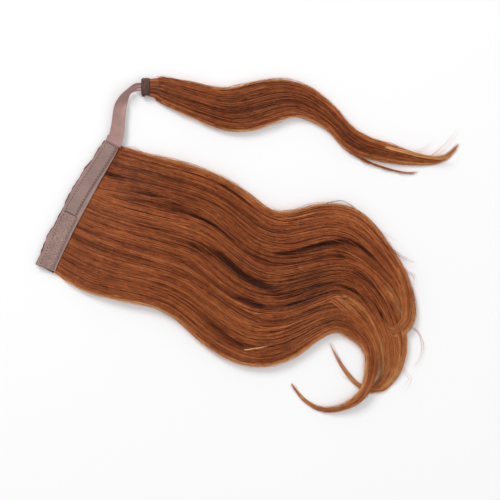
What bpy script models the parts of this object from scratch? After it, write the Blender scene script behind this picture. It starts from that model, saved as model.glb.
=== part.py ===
# Ponytail hairpiece: a long wavy fall of hair sewn under a flat touch-tape band, with a
# strap at one end that carries a separate lock of hair, bound on with thread, which is
# wound round the base of the ponytail when the piece is worn. It lies flat, as stored.
#
# Frame: origin in the middle of the sewn band's underside, on the surface it lies on.
# +X runs out along the hair, +Y along the band towards the strap, +Z up. Metres.

import math
from bisect import bisect_right
from collections import namedtuple

import bmesh
import bpy
from mathutils import Matrix, Vector

# Clearances
GAP = 0.0003
EDGE_CLEARANCE = 0.0010
FLOOR_CLEARANCE = 0.0002
NEXT_LOCK_LIFT = 0.00015

# Band: the cloth backing, its two touch-tape panels and the sewn hair head under it
BAND_LENGTH = 0.150
BAND_WIDTH = 0.021
BAND_THICKNESS = 0.0012
BAND_END_SLANT = 0.0032
TAPE_WIDTH = 0.0135
TAPE_THICKNESS = 0.0012
TAPE_END_MARGIN = 0.0015
HOOK_TAPE_LENGTH = 0.063
HOOK_TAPE_WIDTH = 0.0154
HOOK_TAPE_SHIFT = 0.0010
WEFT_HEIGHT = 0.0040
WEFT_INSET = 0.0008

# Strap from the band to the bound lock
STRAP_LENGTH = 0.0773
STRAP_WIDTH = 0.0155
STRAP_THICKNESS = 0.0010
STRAP_LAP = 0.006

# Binding: thread wound round the strap's end and the lock's root
BINDING_LENGTH = 0.0095
BINDING_WIDTH = 0.018
BINDING_HEIGHT = 0.009
BINDING_TURNS = 5
THREAD_KNOT_RADIUS = 0.0019
KNOT_HEADING = 28.0

# Hair
FALL_LENGTH = 0.520
FALL_HEIGHT = 0.0115
ROOT_RISE_RUN = 0.070
WRAP_LENGTH = 0.358
WRAP_WIDTH = 0.049
WRAP_HEIGHT = 0.0105
NECK_FLARE_RUN = 0.009
TIP_SIZE = 0.0007

# How finely the hair is divided
LOCK_SIDES = 10
GRID_EDGE = 0.49
PATH_STEPS = 240
SECTION_TURN = math.radians(16.0)
SECTION_RUN = 0.024
BAND_STATIONS = 30
STRAP_STATIONS = 22
BINDING_SIDES = 24

# The sewn band's edges and the middle of its tape, as shares of the band's width
Edge = namedtuple("Edge", "along left right tape")
BAND_EDGES = (
    Edge(0.00, -0.37, 0.64, 0.08),
    Edge(0.08, -0.40, 0.58, 0.05),
    Edge(0.16, -0.48, 0.55, 0.01),
    Edge(0.22, -0.53, 0.52, -0.02),
    Edge(0.30, -0.48, 0.50, -0.05),
    Edge(0.43, -0.48, 0.49, -0.07),
    Edge(0.50, -0.52, 0.49, -0.07),
    Edge(0.59, -0.53, 0.50, -0.05),
    Edge(0.66, -0.47, 0.50, -0.02),
    Edge(0.74, -0.46, 0.51, 0.02),
    Edge(0.83, -0.34, 0.53, 0.09),
    Edge(0.92, -0.30, 0.55, 0.13),
    Edge(1.00, -0.24, 0.54, 0.15),
)

# Each hair stream: heading in degrees from +X, half width as a share of the band's
# length (of the wrap's width for the wrap), height and lift as shares of the hair height
Bend = namedtuple("Bend", "along heading half_width height lift")
UPPER_STREAM = (
    Bend(0.00, 17, 0.206, 0.86, 0.00),
    Bend(0.04, 16, 0.197, 0.88, 0.00),
    Bend(0.10, 15, 0.182, 0.92, 0.00),
    Bend(0.20, 11, 0.180, 1.00, 0.00),
    Bend(0.25, 6, 0.178, 1.00, 0.00),
    Bend(0.31, -7, 0.177, 0.96, 0.00),
    Bend(0.37, -13, 0.183, 0.94, 0.00),
    Bend(0.44, 8, 0.199, 0.98, 0.00),
    Bend(0.50, 34, 0.202, 1.00, 0.00),
    Bend(0.56, 43, 0.205, 1.00, 0.00),
    Bend(0.63, 15, 0.200, 0.96, 0.00),
    Bend(0.69, -11, 0.162, 0.90, 0.00),
    Bend(0.75, -19, 0.124, 0.85, 0.00),
    Bend(0.81, -26, 0.090, 0.80, 0.00),
    Bend(0.88, -47, 0.060, 0.68, 0.10),
    Bend(0.925, -80, 0.052, 0.54, 0.32),
    Bend(0.955, -124, 0.038, 0.42, 0.44),
    Bend(0.985, -172, 0.024, 0.32, 0.48),
    Bend(1.015, -214, 0.010, 0.22, 0.50),
)
MIDDLE_STREAM = (
    Bend(0.00, 6, 0.192, 0.90, 0.00),
    Bend(0.10, 13, 0.198, 0.94, 0.00),
    Bend(0.15, 14, 0.200, 0.98, 0.00),
    Bend(0.20, 10, 0.204, 1.00, 0.00),
    Bend(0.25, -8, 0.206, 1.00, 0.00),
    Bend(0.30, -12, 0.206, 0.96, 0.00),
    Bend(0.35, 0, 0.206, 0.94, 0.00),
    Bend(0.40, 24, 0.204, 0.98, 0.00),
    Bend(0.45, 44, 0.190, 1.00, 0.00),
    Bend(0.50, 45, 0.168, 1.00, 0.00),
    Bend(0.55, 18, 0.156, 0.96, 0.00),
    Bend(0.594, -16, 0.134, 0.88, 0.00),
    Bend(0.644, -32, 0.121, 0.80, 0.00),
    Bend(0.694, -45, 0.112, 0.70, 0.00),
    Bend(0.744, -63, 0.094, 0.60, 0.00),
    Bend(0.794, -96, 0.058, 0.48, 0.00),
    Bend(0.842, -150, 0.022, 0.32, 0.00),
    Bend(0.885, -198, 0.008, 0.18, 0.00),
)
LOWER_STREAM = (
    Bend(0.00, -6, 0.168, 0.84, 0.00),
    Bend(0.05, 4, 0.188, 0.90, 0.00),
    Bend(0.10, 13, 0.181, 0.94, 0.00),
    Bend(0.15, 15, 0.175, 0.98, 0.00),
    Bend(0.20, 11, 0.169, 1.00, 0.00),
    Bend(0.25, -1, 0.174, 1.00, 0.00),
    Bend(0.30, -13, 0.178, 0.96, 0.00),
    Bend(0.35, -7, 0.190, 0.94, 0.00),
    Bend(0.40, 3, 0.192, 0.98, 0.00),
    Bend(0.45, 28, 0.184, 1.00, 0.00),
    Bend(0.50, 49, 0.154, 0.98, 0.00),
    Bend(0.55, 56, 0.118, 0.94, 0.00),
    Bend(0.591, 43, 0.110, 0.92, 0.00),
    Bend(0.641, -3, 0.116, 0.88, 0.00),
    Bend(0.691, -31, 0.088, 0.80, 0.00),
    Bend(0.741, -66, 0.060, 0.70, 0.06),
    Bend(0.791, -82, 0.045, 0.60, 0.20),
    Bend(0.839, -118, 0.034, 0.50, 0.24),
    Bend(0.887, -144, 0.024, 0.40, 0.10),
    Bend(0.938, -184, 0.014, 0.28, 0.00),
    Bend(0.997, -217, 0.006, 0.18, 0.00),
)
WRAP_STREAM = (
    Bend(0.00, KNOT_HEADING, 0.20, 0.70, 0.00),
    Bend(0.05, 11, 0.28, 0.88, 0.00),
    Bend(0.11, 9.5, 0.325, 0.96, 0.00),
    Bend(0.17, 9.5, 0.362, 1.00, 0.00),
    Bend(0.22, 14.5, 0.41, 1.00, 0.00),
    Bend(0.28, 33, 0.465, 1.00, 0.00),
    Bend(0.33, 45.5, 0.475, 1.00, 0.00),
    Bend(0.39, 39, 0.435, 0.98, 0.00),
    Bend(0.44, 23, 0.378, 0.94, 0.00),
    Bend(0.50, 1, 0.304, 0.88, 0.00),
    Bend(0.56, -11, 0.238, 0.82, 0.00),
    Bend(0.61, -22, 0.208, 0.78, 0.00),
    Bend(0.67, -3, 0.226, 0.76, 0.00),
    Bend(0.72, 12, 0.208, 0.72, 0.00),
    Bend(0.78, 14, 0.182, 0.64, 0.00),
    Bend(0.83, 16, 0.142, 0.54, 0.00),
    Bend(0.89, 25, 0.088, 0.42, 0.00),
    Bend(0.94, 56, 0.046, 0.30, 0.00),
    Bend(1.00, 90, 0.012, 0.16, 0.00),
)

# A thin lock that leaves the wrap's lower side and ends beside its tip
STRAY_STREAM = (
    Bend(0.00, -22, 0.070, 0.46, 0.00),
    Bend(0.25, -21, 0.050, 0.34, 0.00),
    Bend(0.36, -8, 0.040, 0.28, 0.00),
    Bend(0.50, 3, 0.034, 0.24, 0.00),
    Bend(0.62, 10, 0.030, 0.22, 0.00),
    Bend(0.78, 15, 0.024, 0.20, 0.00),
    Bend(0.90, 25, 0.017, 0.17, 0.00),
    Bend(1.00, 42, 0.011, 0.14, 0.00),
)
STRAY_LENGTH_SHARE = 0.315
STRAY_LEAVES_AT = 0.58
STRAY_ACROSS = -0.66

# The locks in a stream: middle and half width as shares of the stream's half width,
# height as a share of the stream's, and the share of the stream where the lock ends
Lock = namedtuple("Lock", "across width height reach")
UPPER_LOCKS = (
    Lock(-0.66, 0.38, 0.92, 0.90),
    Lock(-0.20, 0.36, 1.00, 1.00),
    Lock(0.25, 0.35, 0.93, 0.98),
    Lock(0.66, 0.34, 0.80, 0.97),
)
MIDDLE_LOCKS = (
    Lock(-0.66, 0.37, 0.90, 0.93),
    Lock(-0.22, 0.36, 1.00, 0.965),
    Lock(0.22, 0.36, 0.88, 0.94),
    Lock(0.66, 0.37, 0.96, 0.95),
)
LOWER_LOCKS = (
    Lock(-0.66, 0.34, 0.76, 0.86),
    Lock(-0.26, 0.34, 0.92, 1.00),
    Lock(0.20, 0.37, 1.00, 0.94),
    Lock(0.66, 0.38, 0.86, 0.78),
)
WRAP_LOCKS = (
    Lock(-0.68, 0.33, 0.78, 0.96),
    Lock(-0.24, 0.36, 0.98, 1.00),
    Lock(0.26, 0.36, 0.92, 0.98),
    Lock(0.69, 0.32, 0.76, 0.94),
)
WRAP_CORE = Lock(0.0, 0.52, 0.90, 1.00)

# The streams of the fall: table, locks, place on the band and length as shares
Stream = namedtuple("Stream", "name bends locks along_band length")
FALL_STREAMS = (
    Stream("upper", UPPER_STREAM, UPPER_LOCKS, 0.306, 0.794),
    Stream("middle", MIDDLE_STREAM, MIDDLE_LOCKS, -0.008, 1.015),
    Stream("lower", LOWER_STREAM, LOWER_LOCKS, -0.314, 0.982),
)

# Strap: heading in degrees, width as a share of its full width, and its roll in degrees
Turn = namedtuple("Turn", "along heading width roll")
STRAP_TURNS = (
    Turn(0.00, 90, 1.00, 0),
    Turn(0.08, 98, 0.98, 0),
    Turn(0.16, 108, 0.95, 0),
    Turn(0.27, 112, 0.87, 3),
    Turn(0.38, 113, 0.82, 6),
    Turn(0.50, 104, 0.80, 10),
    Turn(0.63, 93, 0.76, 38),
    Turn(0.76, 68, 0.68, 62),
    Turn(0.85, 46, 0.60, 38),
    Turn(0.93, 31, 0.54, 0),
    Turn(1.00, KNOT_HEADING, 0.52, 0),
)

# Sections and shapes
BELLY = math.sin(math.radians(36.0))
LOCK_TIP_SHARE = 0.16
SHORTEST_RUN_SHARE = 0.25
HEAD_DEPTH_SHARE = 0.25
BINDING_BORE_SHARE = 0.72
THREAD_VALLEY_SHARE = 0.94
NECK_WIDTH_SHARE = 0.58
NECK_HEIGHT_SHARE = 0.34
NECK_DROP_SHARE = 0.11
STRAP_RISE_SHARE = 0.155
SEAM_OFFSET_SHARE = 0.06
CORE_START_SHARE = -0.4
LOCK_START_SIZE = 0.6
KNOT_ALONG_SHARE = -0.34
KNOT_ACROSS_SHARE = -0.45

# Levels, from the surface up
BAND_BOTTOM = WEFT_HEIGHT + GAP
BAND_TOP = BAND_BOTTOM + BAND_THICKNESS
TAPE_BOTTOM = BAND_TOP + GAP
BINDING_MIDDLE = FLOOR_CLEARANCE + BINDING_HEIGHT / 2
BORE_HEIGHT = BINDING_HEIGHT * BINDING_BORE_SHARE


def clear_scene():
    for scene_object in list(bpy.data.objects):
        bpy.data.objects.remove(scene_object, do_unlink=True)


def finish(name, red, green, blue, roughness):
    """A plain finish with one colour."""
    material = bpy.data.materials.new(name)
    material.use_nodes = True
    shader = material.node_tree.nodes["Principled BSDF"]
    shader.inputs["Base Color"].default_value = (red, green, blue, 1.0)
    shader.inputs["Roughness"].default_value = roughness
    shader.inputs["Metallic"].default_value = 0.0
    material.diffuse_color = (red, green, blue, 1.0)
    return material


def solid(name, shape, material, collection=None):
    """One object from a finished bmesh, with its faces turned outwards."""
    bmesh.ops.recalc_face_normals(shape, faces=shape.faces)
    mesh = bpy.data.meshes.new(name)
    shape.to_mesh(mesh)
    shape.free()
    mesh.shade_smooth()
    mesh.set_sharp_from_angle(angle=math.radians(40.0))
    mesh.materials.append(material)
    made = bpy.data.objects.new(name, mesh)
    (collection or bpy.context.scene.collection).objects.link(made)
    return made


def smooth(rows, column):
    """A function of the share along that passes through a table's column with no overshoot."""
    places = [row.along for row in rows]
    values = [getattr(row, column) for row in rows]
    rises = []
    for index in range(len(rows) - 1):
        run = places[index + 1] - places[index]
        rises.append((values[index + 1] - values[index]) / run)
    slopes = [rises[0]]
    for before, after in zip(rises, rises[1:]):
        same_way = before * after > 0
        slopes.append(2 * before * after / (before + after) if same_way else 0.0)
    slopes.append(rises[-1])

    def value_at(share):
        index = min(max(bisect_right(places, share) - 1, 0), len(rises) - 1)
        run = places[index + 1] - places[index]
        part = min(max((share - places[index]) / run, 0.0), 1.0)
        rest = 1.0 - part
        start = (1 + 2 * part) * rest**2 * values[index]
        start += part * rest**2 * run * slopes[index]
        end = part**2 * (3 - 2 * part) * values[index + 1]
        return start + end - part**2 * rest * run * slopes[index + 1]

    return value_at


Station = namedtuple("Station", "share place ahead")


def follow(rows, length, start):
    """Stations along a path that starts at a point and turns as its headings say."""
    heading = smooth(rows, "heading")
    last = rows[-1].along
    stations = []
    place = Vector((start[0], start[1], 0.0))
    for index in range(PATH_STEPS + 1):
        share = last * index / PATH_STEPS
        angle = math.radians(heading(share))
        ahead = Vector((math.cos(angle), math.sin(angle), 0.0))
        stations.append(Station(share, place.copy(), ahead))
        middle = math.radians(heading(share + 0.5 * last / PATH_STEPS))
        step = length * last / PATH_STEPS
        place += step * Vector((math.cos(middle), math.sin(middle), 0.0))
    return stations


def sections(stations, reach):
    """The stations where a lock gets a ring: closer together where it curls."""
    chosen = [stations[0]]
    turned = 0.0
    run = 0.0
    for before, after in zip(stations, stations[1:]):
        if after.share > reach:
            break
        turned += before.ahead.angle(after.ahead)
        run += (after.place - before.place).length
        if turned > SECTION_TURN or run > SECTION_RUN:
            chosen.append(after)
            turned = 0.0
            run = 0.0
    last = [station for station in stations if station.share <= reach][-1]
    if last.share - chosen[-1].share < SHORTEST_RUN_SHARE * SECTION_RUN / FALL_LENGTH and len(chosen) > 2:
        chosen.pop()
    chosen.append(last)
    return chosen


def left_of(ahead):
    return Vector((-ahead.y, ahead.x, 0.0))


def ring(shape, middle, ahead, half_width, half_height, capped):
    """A flat-bottomed oval ring across a lock; returns its edges."""
    left = left_of(ahead)
    across = Matrix((left, Vector((0.0, 0.0, 1.0)), ahead)).transposed().to_4x4()
    place = Matrix.Translation(middle) @ across @ Matrix.Diagonal((half_width, half_height, 1.0, 1.0))
    made = bmesh.ops.create_circle(shape, segments=LOCK_SIDES, radius=1.0, cap_ends=capped, matrix=place)
    floor = middle.z - BELLY * half_height
    for vertex in made["verts"]:
        vertex.co.z = max(vertex.co.z, floor)
    corners = set(made["verts"])
    return [edge for edge in shape.edges if edge.verts[0] in corners and edge.verts[1] in corners]


def tube(rings):
    """A closed tube through (middle, ahead, half width, half height) rings."""
    shape = bmesh.new()
    before = None
    for index, (middle, ahead, half_width, half_height) in enumerate(rings):
        capped = index in (0, len(rings) - 1)
        edges = ring(shape, middle, ahead, half_width, half_height, capped)
        if before:
            bmesh.ops.bridge_loops(shape, edges=before + edges)
        before = edges
    return shape


def lock_ring(bends, lock, station, stream_width, bottom, height):
    """One ring of a lock: tapered to its tip, resting at the bottom level."""
    half_width = smooth(bends, "half_width")(station.share) * stream_width
    left_run = (lock.reach * bends[-1].along - station.share) / (LOCK_TIP_SHARE * bends[-1].along)
    taper = math.sin(math.pi / 2 * min(max(left_run, 0.0), 1.0))
    lock_width = max(lock.width * half_width * taper, TIP_SIZE)
    half_height = max(lock.height * height * taper, TIP_SIZE) / (1 + BELLY)
    middle = station.place + left_of(station.ahead) * (lock.across * half_width)
    middle.z = bottom + BELLY * half_height
    return middle, station.ahead, lock_width, half_height


def hair_fall(hair):
    """Three streams of locks fused to the flat head that is sewn under the band."""
    head = band_slab(-WEFT_INSET, 0.0, WEFT_HEIGHT, 0.0, False)
    fall = solid("hair_fall", head, hair)
    edge = smooth(BAND_EDGES, "right")
    widest = max(row.right for row in BAND_EDGES) * BAND_WIDTH
    under_height = WEFT_HEIGHT - 2 * GAP
    locks = bpy.data.collections.new("fall_locks")
    bpy.context.scene.collection.children.link(locks)
    for stream in FALL_STREAMS:
        height_at = smooth(stream.bends, "height")
        lift_at = smooth(stream.bends, "lift")
        start = Vector((widest + EDGE_CLEARANCE, stream.along_band * BAND_LENGTH, 0.0))
        length = stream.length * FALL_LENGTH
        stations = follow(stream.bends, length, start)
        for number, lock in enumerate(stream.locks):
            rings = []
            for station in sections(stations, lock.reach * stream.bends[-1].along):
                rise = min(station.share * length / ROOT_RISE_RUN, 1.0)
                rise = math.sin(math.pi / 2 * rise)
                full = FALL_HEIGHT * height_at(station.share)
                height = under_height + (full - under_height) * rise
                bottom = FLOOR_CLEARANCE + FALL_HEIGHT * lift_at(station.share)
                bottom += NEXT_LOCK_LIFT * (number % 2)
                rings.append(lock_ring(stream.bends, lock, station, BAND_LENGTH, bottom, height))
            first, _, lock_width, half_height = rings[0]
            root = first.copy()
            share = 0.5 + root.y / BAND_LENGTH
            root.x = edge(share) * BAND_WIDTH * HEAD_DEPTH_SHARE
            rings[0] = (first, Vector((1.0, 0.0, 0.0)), lock_width, half_height)
            rings.insert(0, (root, Vector((1.0, 0.0, 0.0)), lock_width, half_height))
            made = solid(f"{stream.name}_lock_{number + 1}", tube(rings), hair, locks)
            made.hide_render = True
            made.display_type = "WIRE"
    fuse(fall, locks)
    return fall


def fuse(base, collection):
    """Joins every solid of a collection to the base as one body."""
    union = base.modifiers.new("fused", "BOOLEAN")
    union.operation = "UNION"
    union.operand_type = "COLLECTION"
    union.collection = collection
    union.solver = "EXACT"


def band_slab(outset, bottom, thickness, lap, slanted):
    """A slab with the band's outline, grown or shrunk at its long edges."""
    left = smooth(BAND_EDGES, "left")
    right = smooth(BAND_EDGES, "right")
    shape = bmesh.new()
    bmesh.ops.create_grid(shape, x_segments=1, y_segments=BAND_STATIONS, size=0.5)
    length = BAND_LENGTH + outset * 2 + lap
    for vertex in shape.verts:
        along = -BAND_LENGTH / 2 - outset + (vertex.co.y + 0.5) * length
        share = along / BAND_LENGTH + 0.5
        on_right = vertex.co.x > 0
        at_lower_end = vertex.co.y < -GRID_EDGE
        side = right(share) * BAND_WIDTH + outset if on_right else left(share) * BAND_WIDTH - outset
        if slanted and at_lower_end and on_right:
            along += BAND_END_SLANT
        vertex.co = Vector((side, along, bottom))
    lift_faces(shape, thickness)
    return shape


def lift_faces(shape, thickness):
    """Gives a flat sheet its thickness upwards."""
    grown = bmesh.ops.extrude_face_region(shape, geom=list(shape.faces))
    raised = [part for part in grown["geom"] if isinstance(part, bmesh.types.BMVert)]
    bmesh.ops.translate(shape, vec=Vector((0.0, 0.0, thickness)), verts=raised)


def base_band(cloth):
    slab = band_slab(0.0, BAND_BOTTOM, BAND_THICKNESS, STRAP_LAP, True)
    return solid("base_band", slab, cloth)


def tape_panel(name, start, end, width, shift, slant, material):
    """A panel of touch tape on the band, between two places along it."""
    middle = smooth(BAND_EDGES, "tape")
    shape = bmesh.new()
    stations = max(round(BAND_STATIONS * (end - start) / BAND_LENGTH), 2)
    bmesh.ops.create_grid(shape, x_segments=1, y_segments=stations, size=0.5)
    for vertex in shape.verts:
        along = start + (vertex.co.y + 0.5) * (end - start)
        side = middle(along / BAND_LENGTH + 0.5) * BAND_WIDTH + shift + vertex.co.x * width
        if vertex.co.y < -GRID_EDGE and vertex.co.x > 0:
            along += slant
        vertex.co = Vector((side, along, TAPE_BOTTOM))
    lift_faces(shape, TAPE_THICKNESS)
    return solid(name, shape, material)


def strap_path():
    """Stations along the strap, from its seam on the band to the middle of the binding."""
    seam_x = smooth(BAND_EDGES, "tape")(1.0) * BAND_WIDTH + STRAP_WIDTH * SEAM_OFFSET_SHARE
    return follow(STRAP_TURNS, STRAP_LENGTH, (seam_x, BAND_LENGTH / 2))


def strap(cloth):
    """A soft ribbon that rolls on its side before it goes into the binding."""
    stations = strap_path()
    width_at = smooth(STRAP_TURNS, "width")
    roll_at = smooth(STRAP_TURNS, "roll")
    low = TAPE_BOTTOM + STRAP_THICKNESS / 2
    high = BINDING_MIDDLE + STRAP_RISE_SHARE * BINDING_HEIGHT
    stride = PATH_STEPS // STRAP_STATIONS
    rows = [stations[index] for index in range(0, PATH_STEPS - stride, stride)]
    rows.append(stations[-1])
    tail = stations[-1]
    end = tail.place + tail.ahead * (BINDING_LENGTH / 2)
    rows.append(Station(1.0, end, tail.ahead))
    shape = bmesh.new()
    bmesh.ops.create_grid(shape, x_segments=1, y_segments=len(rows) - 1, size=0.5)
    for vertex in shape.verts:
        row = rows[round((vertex.co.y + 0.5) * (len(rows) - 1))]
        roll = math.radians(roll_at(row.share))
        offset = -vertex.co.x * STRAP_WIDTH * width_at(row.share)
        level = low + (high - low) * row.share
        side = left_of(row.ahead) * (offset * math.cos(roll))
        vertex.co = row.place + side + Vector((0.0, 0.0, level + offset * math.sin(roll)))
    bmesh.ops.recalc_face_normals(shape, faces=shape.faces)
    made = solid("strap", shape, cloth)
    wall = made.modifiers.new("cloth", "SOLIDIFY")
    wall.thickness = STRAP_THICKNESS
    wall.offset = 0.0
    wall.use_even_offset = True
    return made


def knot_place():
    """The middle of the binding, seen from above, and the way the bound lock leaves it."""
    return strap_path()[-1]


def binding(thread):
    """Thread wound round the joint as ribbed turns, with its small knot at the side."""
    shape = bmesh.new()
    profile = [(-0.5, BINDING_BORE_SHARE)]
    for turn in range(BINDING_TURNS):
        profile.append((turn / BINDING_TURNS - 0.5, THREAD_VALLEY_SHARE))
        profile.append(((turn + 0.5) / BINDING_TURNS - 0.5, 1.0))
    profile.append((0.5, THREAD_VALLEY_SHARE))
    profile.append((0.5, BINDING_BORE_SHARE))
    corners = []
    for along, radius in profile:
        corners.append(shape.verts.new((along * BINDING_LENGTH, 0.0, radius / 2)))
    for index, corner in enumerate(corners):
        shape.edges.new((corner, corners[index - 1]))
    bmesh.ops.spin(
        shape,
        geom=shape.verts[:] + shape.edges[:],
        cent=(0.0, 0.0, 0.0),
        axis=(1.0, 0.0, 0.0),
        steps=BINDING_SIDES,
        angle=2 * math.pi,
        use_merge=True,
    )
    bmesh.ops.remove_doubles(shape, verts=shape.verts, dist=0.00001)
    bmesh.ops.scale(shape, vec=Vector((1.0, BINDING_WIDTH, BINDING_HEIGHT)), verts=shape.verts)
    made = solid("binding", shape, thread)
    knots = bpy.data.collections.new("thread_knots")
    bpy.context.scene.collection.children.link(knots)
    ball = bmesh.new()
    bmesh.ops.create_icosphere(ball, subdivisions=2, radius=THREAD_KNOT_RADIUS)
    knot = solid("thread_knot", ball, thread, knots)
    knot.hide_render = True
    knot.display_type = "WIRE"
    place = knot_place()
    level = Vector((0.0, 0.0, BINDING_MIDDLE))
    made.location = place.place + level
    made.rotation_euler.z = math.atan2(place.ahead.y, place.ahead.x)
    across = left_of(place.ahead) * (KNOT_ACROSS_SHARE * BINDING_WIDTH)
    knot.location = made.location + place.ahead * (KNOT_ALONG_SHARE * BINDING_LENGTH) + across
    fuse(made, knots)
    return made


def wrap_lock(hair):
    """The bound lock: a core that fills the binding, with locks fused along it."""
    knot = knot_place()
    stations = follow(WRAP_STREAM, WRAP_LENGTH, knot.place)
    height_at = smooth(WRAP_STREAM, "height")
    neck_width = NECK_WIDTH_SHARE * BINDING_WIDTH / 2
    neck_height = NECK_HEIGHT_SHARE * BINDING_HEIGHT / 2
    neck_level = Vector((0.0, 0.0, BINDING_MIDDLE - NECK_DROP_SHARE * BINDING_HEIGHT))
    neck_end = BINDING_LENGTH / 2 + EDGE_CLEARANCE
    flare_end = neck_end + NECK_FLARE_RUN
    flared = [station for station in stations if station.share * WRAP_LENGTH > flare_end]
    flaring = [station for station in stations if station.share * WRAP_LENGTH > neck_end]
    flaring = flaring[1 : -len(flared) : 2]

    def neck_ring(along, size):
        middle = knot.place + knot.ahead * along + neck_level
        return middle, knot.ahead, neck_width * size, neck_height * size

    def rings_of(lock, bottom, size):
        rings = []
        for station in flaring + sections(flared, lock.reach):
            height = WRAP_HEIGHT * height_at(station.share)
            middle, ahead, width, half_height = lock_ring(
                WRAP_STREAM, lock, station, WRAP_WIDTH, bottom, height
            )
            part = min((station.share * WRAP_LENGTH - neck_end) / NECK_FLARE_RUN, 1.0)
            part = math.sin(math.pi / 2 * part)
            middle = middle * part + (station.place + neck_level) * (1 - part)
            width = width * part + neck_width * size * (1 - part)
            half_height = half_height * part + neck_height * size * (1 - part)
            rings.append((middle, ahead, width, half_height))
        return rings

    core = [neck_ring(CORE_START_SHARE * BINDING_LENGTH, 1.0), neck_ring(neck_end, 1.0)]
    core += rings_of(WRAP_CORE, FLOOR_CLEARANCE, 1.0)
    made = solid("wrap_lock", tube(core), hair)
    locks = bpy.data.collections.new("wrap_locks")
    bpy.context.scene.collection.children.link(locks)
    for number, lock in enumerate(WRAP_LOCKS):
        bottom = FLOOR_CLEARANCE + NEXT_LOCK_LIFT * (1 + number % 2)
        rings = [neck_ring(neck_end - NEXT_LOCK_LIFT * (number + 1), LOCK_START_SIZE)]
        rings += rings_of(lock, bottom, LOCK_START_SIZE)
        part = solid(f"wrap_lock_{number + 1}", tube(rings), hair, locks)
        part.hide_render = True
        part.display_type = "WIRE"
    root = min(stations, key=lambda station: abs(station.share - STRAY_LEAVES_AT))
    aside = smooth(WRAP_STREAM, "half_width")(root.share) * WRAP_WIDTH * STRAY_ACROSS
    start = root.place + left_of(root.ahead) * aside
    stray_height = smooth(STRAY_STREAM, "height")
    whole = Lock(0.0, 1.0, 1.0, 1.0)
    rings = []
    for station in sections(follow(STRAY_STREAM, STRAY_LENGTH_SHARE * WRAP_LENGTH, start), 1.0):
        height = WRAP_HEIGHT * stray_height(station.share)
        rings.append(
            lock_ring(STRAY_STREAM, whole, station, WRAP_WIDTH, FLOOR_CLEARANCE, height)
        )
    stray = solid("stray_lock", tube(rings), hair, locks)
    stray.hide_render = True
    stray.display_type = "WIRE"
    fuse(made, locks)
    return made


def main():
    clear_scene()
    hair = finish("auburn_hair", 0.26, 0.065, 0.018, 0.45)
    cloth = finish("band_cloth", 0.34, 0.22, 0.19, 0.80)
    loop_tape = finish("loop_tape", 0.30, 0.205, 0.175, 0.70)
    hook_tape = finish("hook_tape", 0.31, 0.215, 0.185, 0.60)
    thread = finish("binding_thread", 0.09, 0.045, 0.035, 0.70)
    lower_end = -BAND_LENGTH / 2 + TAPE_END_MARGIN
    split = lower_end + HOOK_TAPE_LENGTH
    base_band(cloth)
    tape_panel(
        "hook_panel", lower_end, split - GAP / 2, HOOK_TAPE_WIDTH, HOOK_TAPE_SHIFT,
        BAND_END_SLANT, hook_tape,
    )
    tape_panel(
        "smooth_panel", split + GAP / 2, BAND_LENGTH / 2 - GAP, TAPE_WIDTH, 0.0, 0.0, loop_tape
    )
    strap(cloth)
    binding(thread)
    hair_fall(hair)
    wrap_lock(hair)


main()
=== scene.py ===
# %% [markdown]
# # A long ponytail hairpiece, laid out on a pale floor
# The real thing is a band of cloth with touch tape on top, wefts of long wavy hair sewn
# under it, and a strap that ends in a separate lock of hair. When it is worn, the band
# goes round a small ponytail and the lock is wound over the join. Here it lies flat.
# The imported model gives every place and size. This script gives each piece its surface.

import math
from collections import namedtuple

import bmesh
import bpy
import numpy as np
from mathutils import Matrix, Vector


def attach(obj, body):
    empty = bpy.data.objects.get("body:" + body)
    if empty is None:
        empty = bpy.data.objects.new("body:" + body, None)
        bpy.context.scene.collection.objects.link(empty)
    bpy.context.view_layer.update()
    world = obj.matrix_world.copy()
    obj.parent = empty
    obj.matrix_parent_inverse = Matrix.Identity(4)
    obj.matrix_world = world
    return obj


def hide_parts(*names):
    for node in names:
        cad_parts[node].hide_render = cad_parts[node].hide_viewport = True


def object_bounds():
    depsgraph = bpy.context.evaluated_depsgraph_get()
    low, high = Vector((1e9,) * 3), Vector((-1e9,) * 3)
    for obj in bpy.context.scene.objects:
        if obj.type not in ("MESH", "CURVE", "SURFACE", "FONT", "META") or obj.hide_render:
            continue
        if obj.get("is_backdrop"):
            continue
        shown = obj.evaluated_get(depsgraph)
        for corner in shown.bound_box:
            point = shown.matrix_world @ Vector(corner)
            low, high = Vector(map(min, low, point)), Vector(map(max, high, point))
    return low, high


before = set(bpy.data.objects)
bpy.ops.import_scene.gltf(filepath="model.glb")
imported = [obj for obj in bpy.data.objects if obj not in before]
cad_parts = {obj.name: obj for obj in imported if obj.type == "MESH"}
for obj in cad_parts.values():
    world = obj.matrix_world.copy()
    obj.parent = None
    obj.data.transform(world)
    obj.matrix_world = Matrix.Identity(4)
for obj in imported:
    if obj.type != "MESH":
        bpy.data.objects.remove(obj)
cad_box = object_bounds()
MM = 0.001
print("solids in the frame:", ", ".join(sorted(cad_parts)))

# %% [markdown]
# ## Camera, floor and light
# A flat lay is photographed from straight above. The band leans 28 degrees to the left
# in the picture, so the camera turns instead of the piece. A long lens keeps the outline
# free of perspective. The floor is a plain sheet of near white. One broad lamp high on
# the upper left of the picture draws the soft shadows, and a bright sky fills them.

# %% Camera
VIEW_TURN = math.radians(28.0)
VIEW_MIDDLE = Vector((0.1828, 0.0441))
VIEW_WIDTH = 0.525
CAMERA_HEIGHT = 1.6
SENSOR_WIDTH = 36.0

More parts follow.
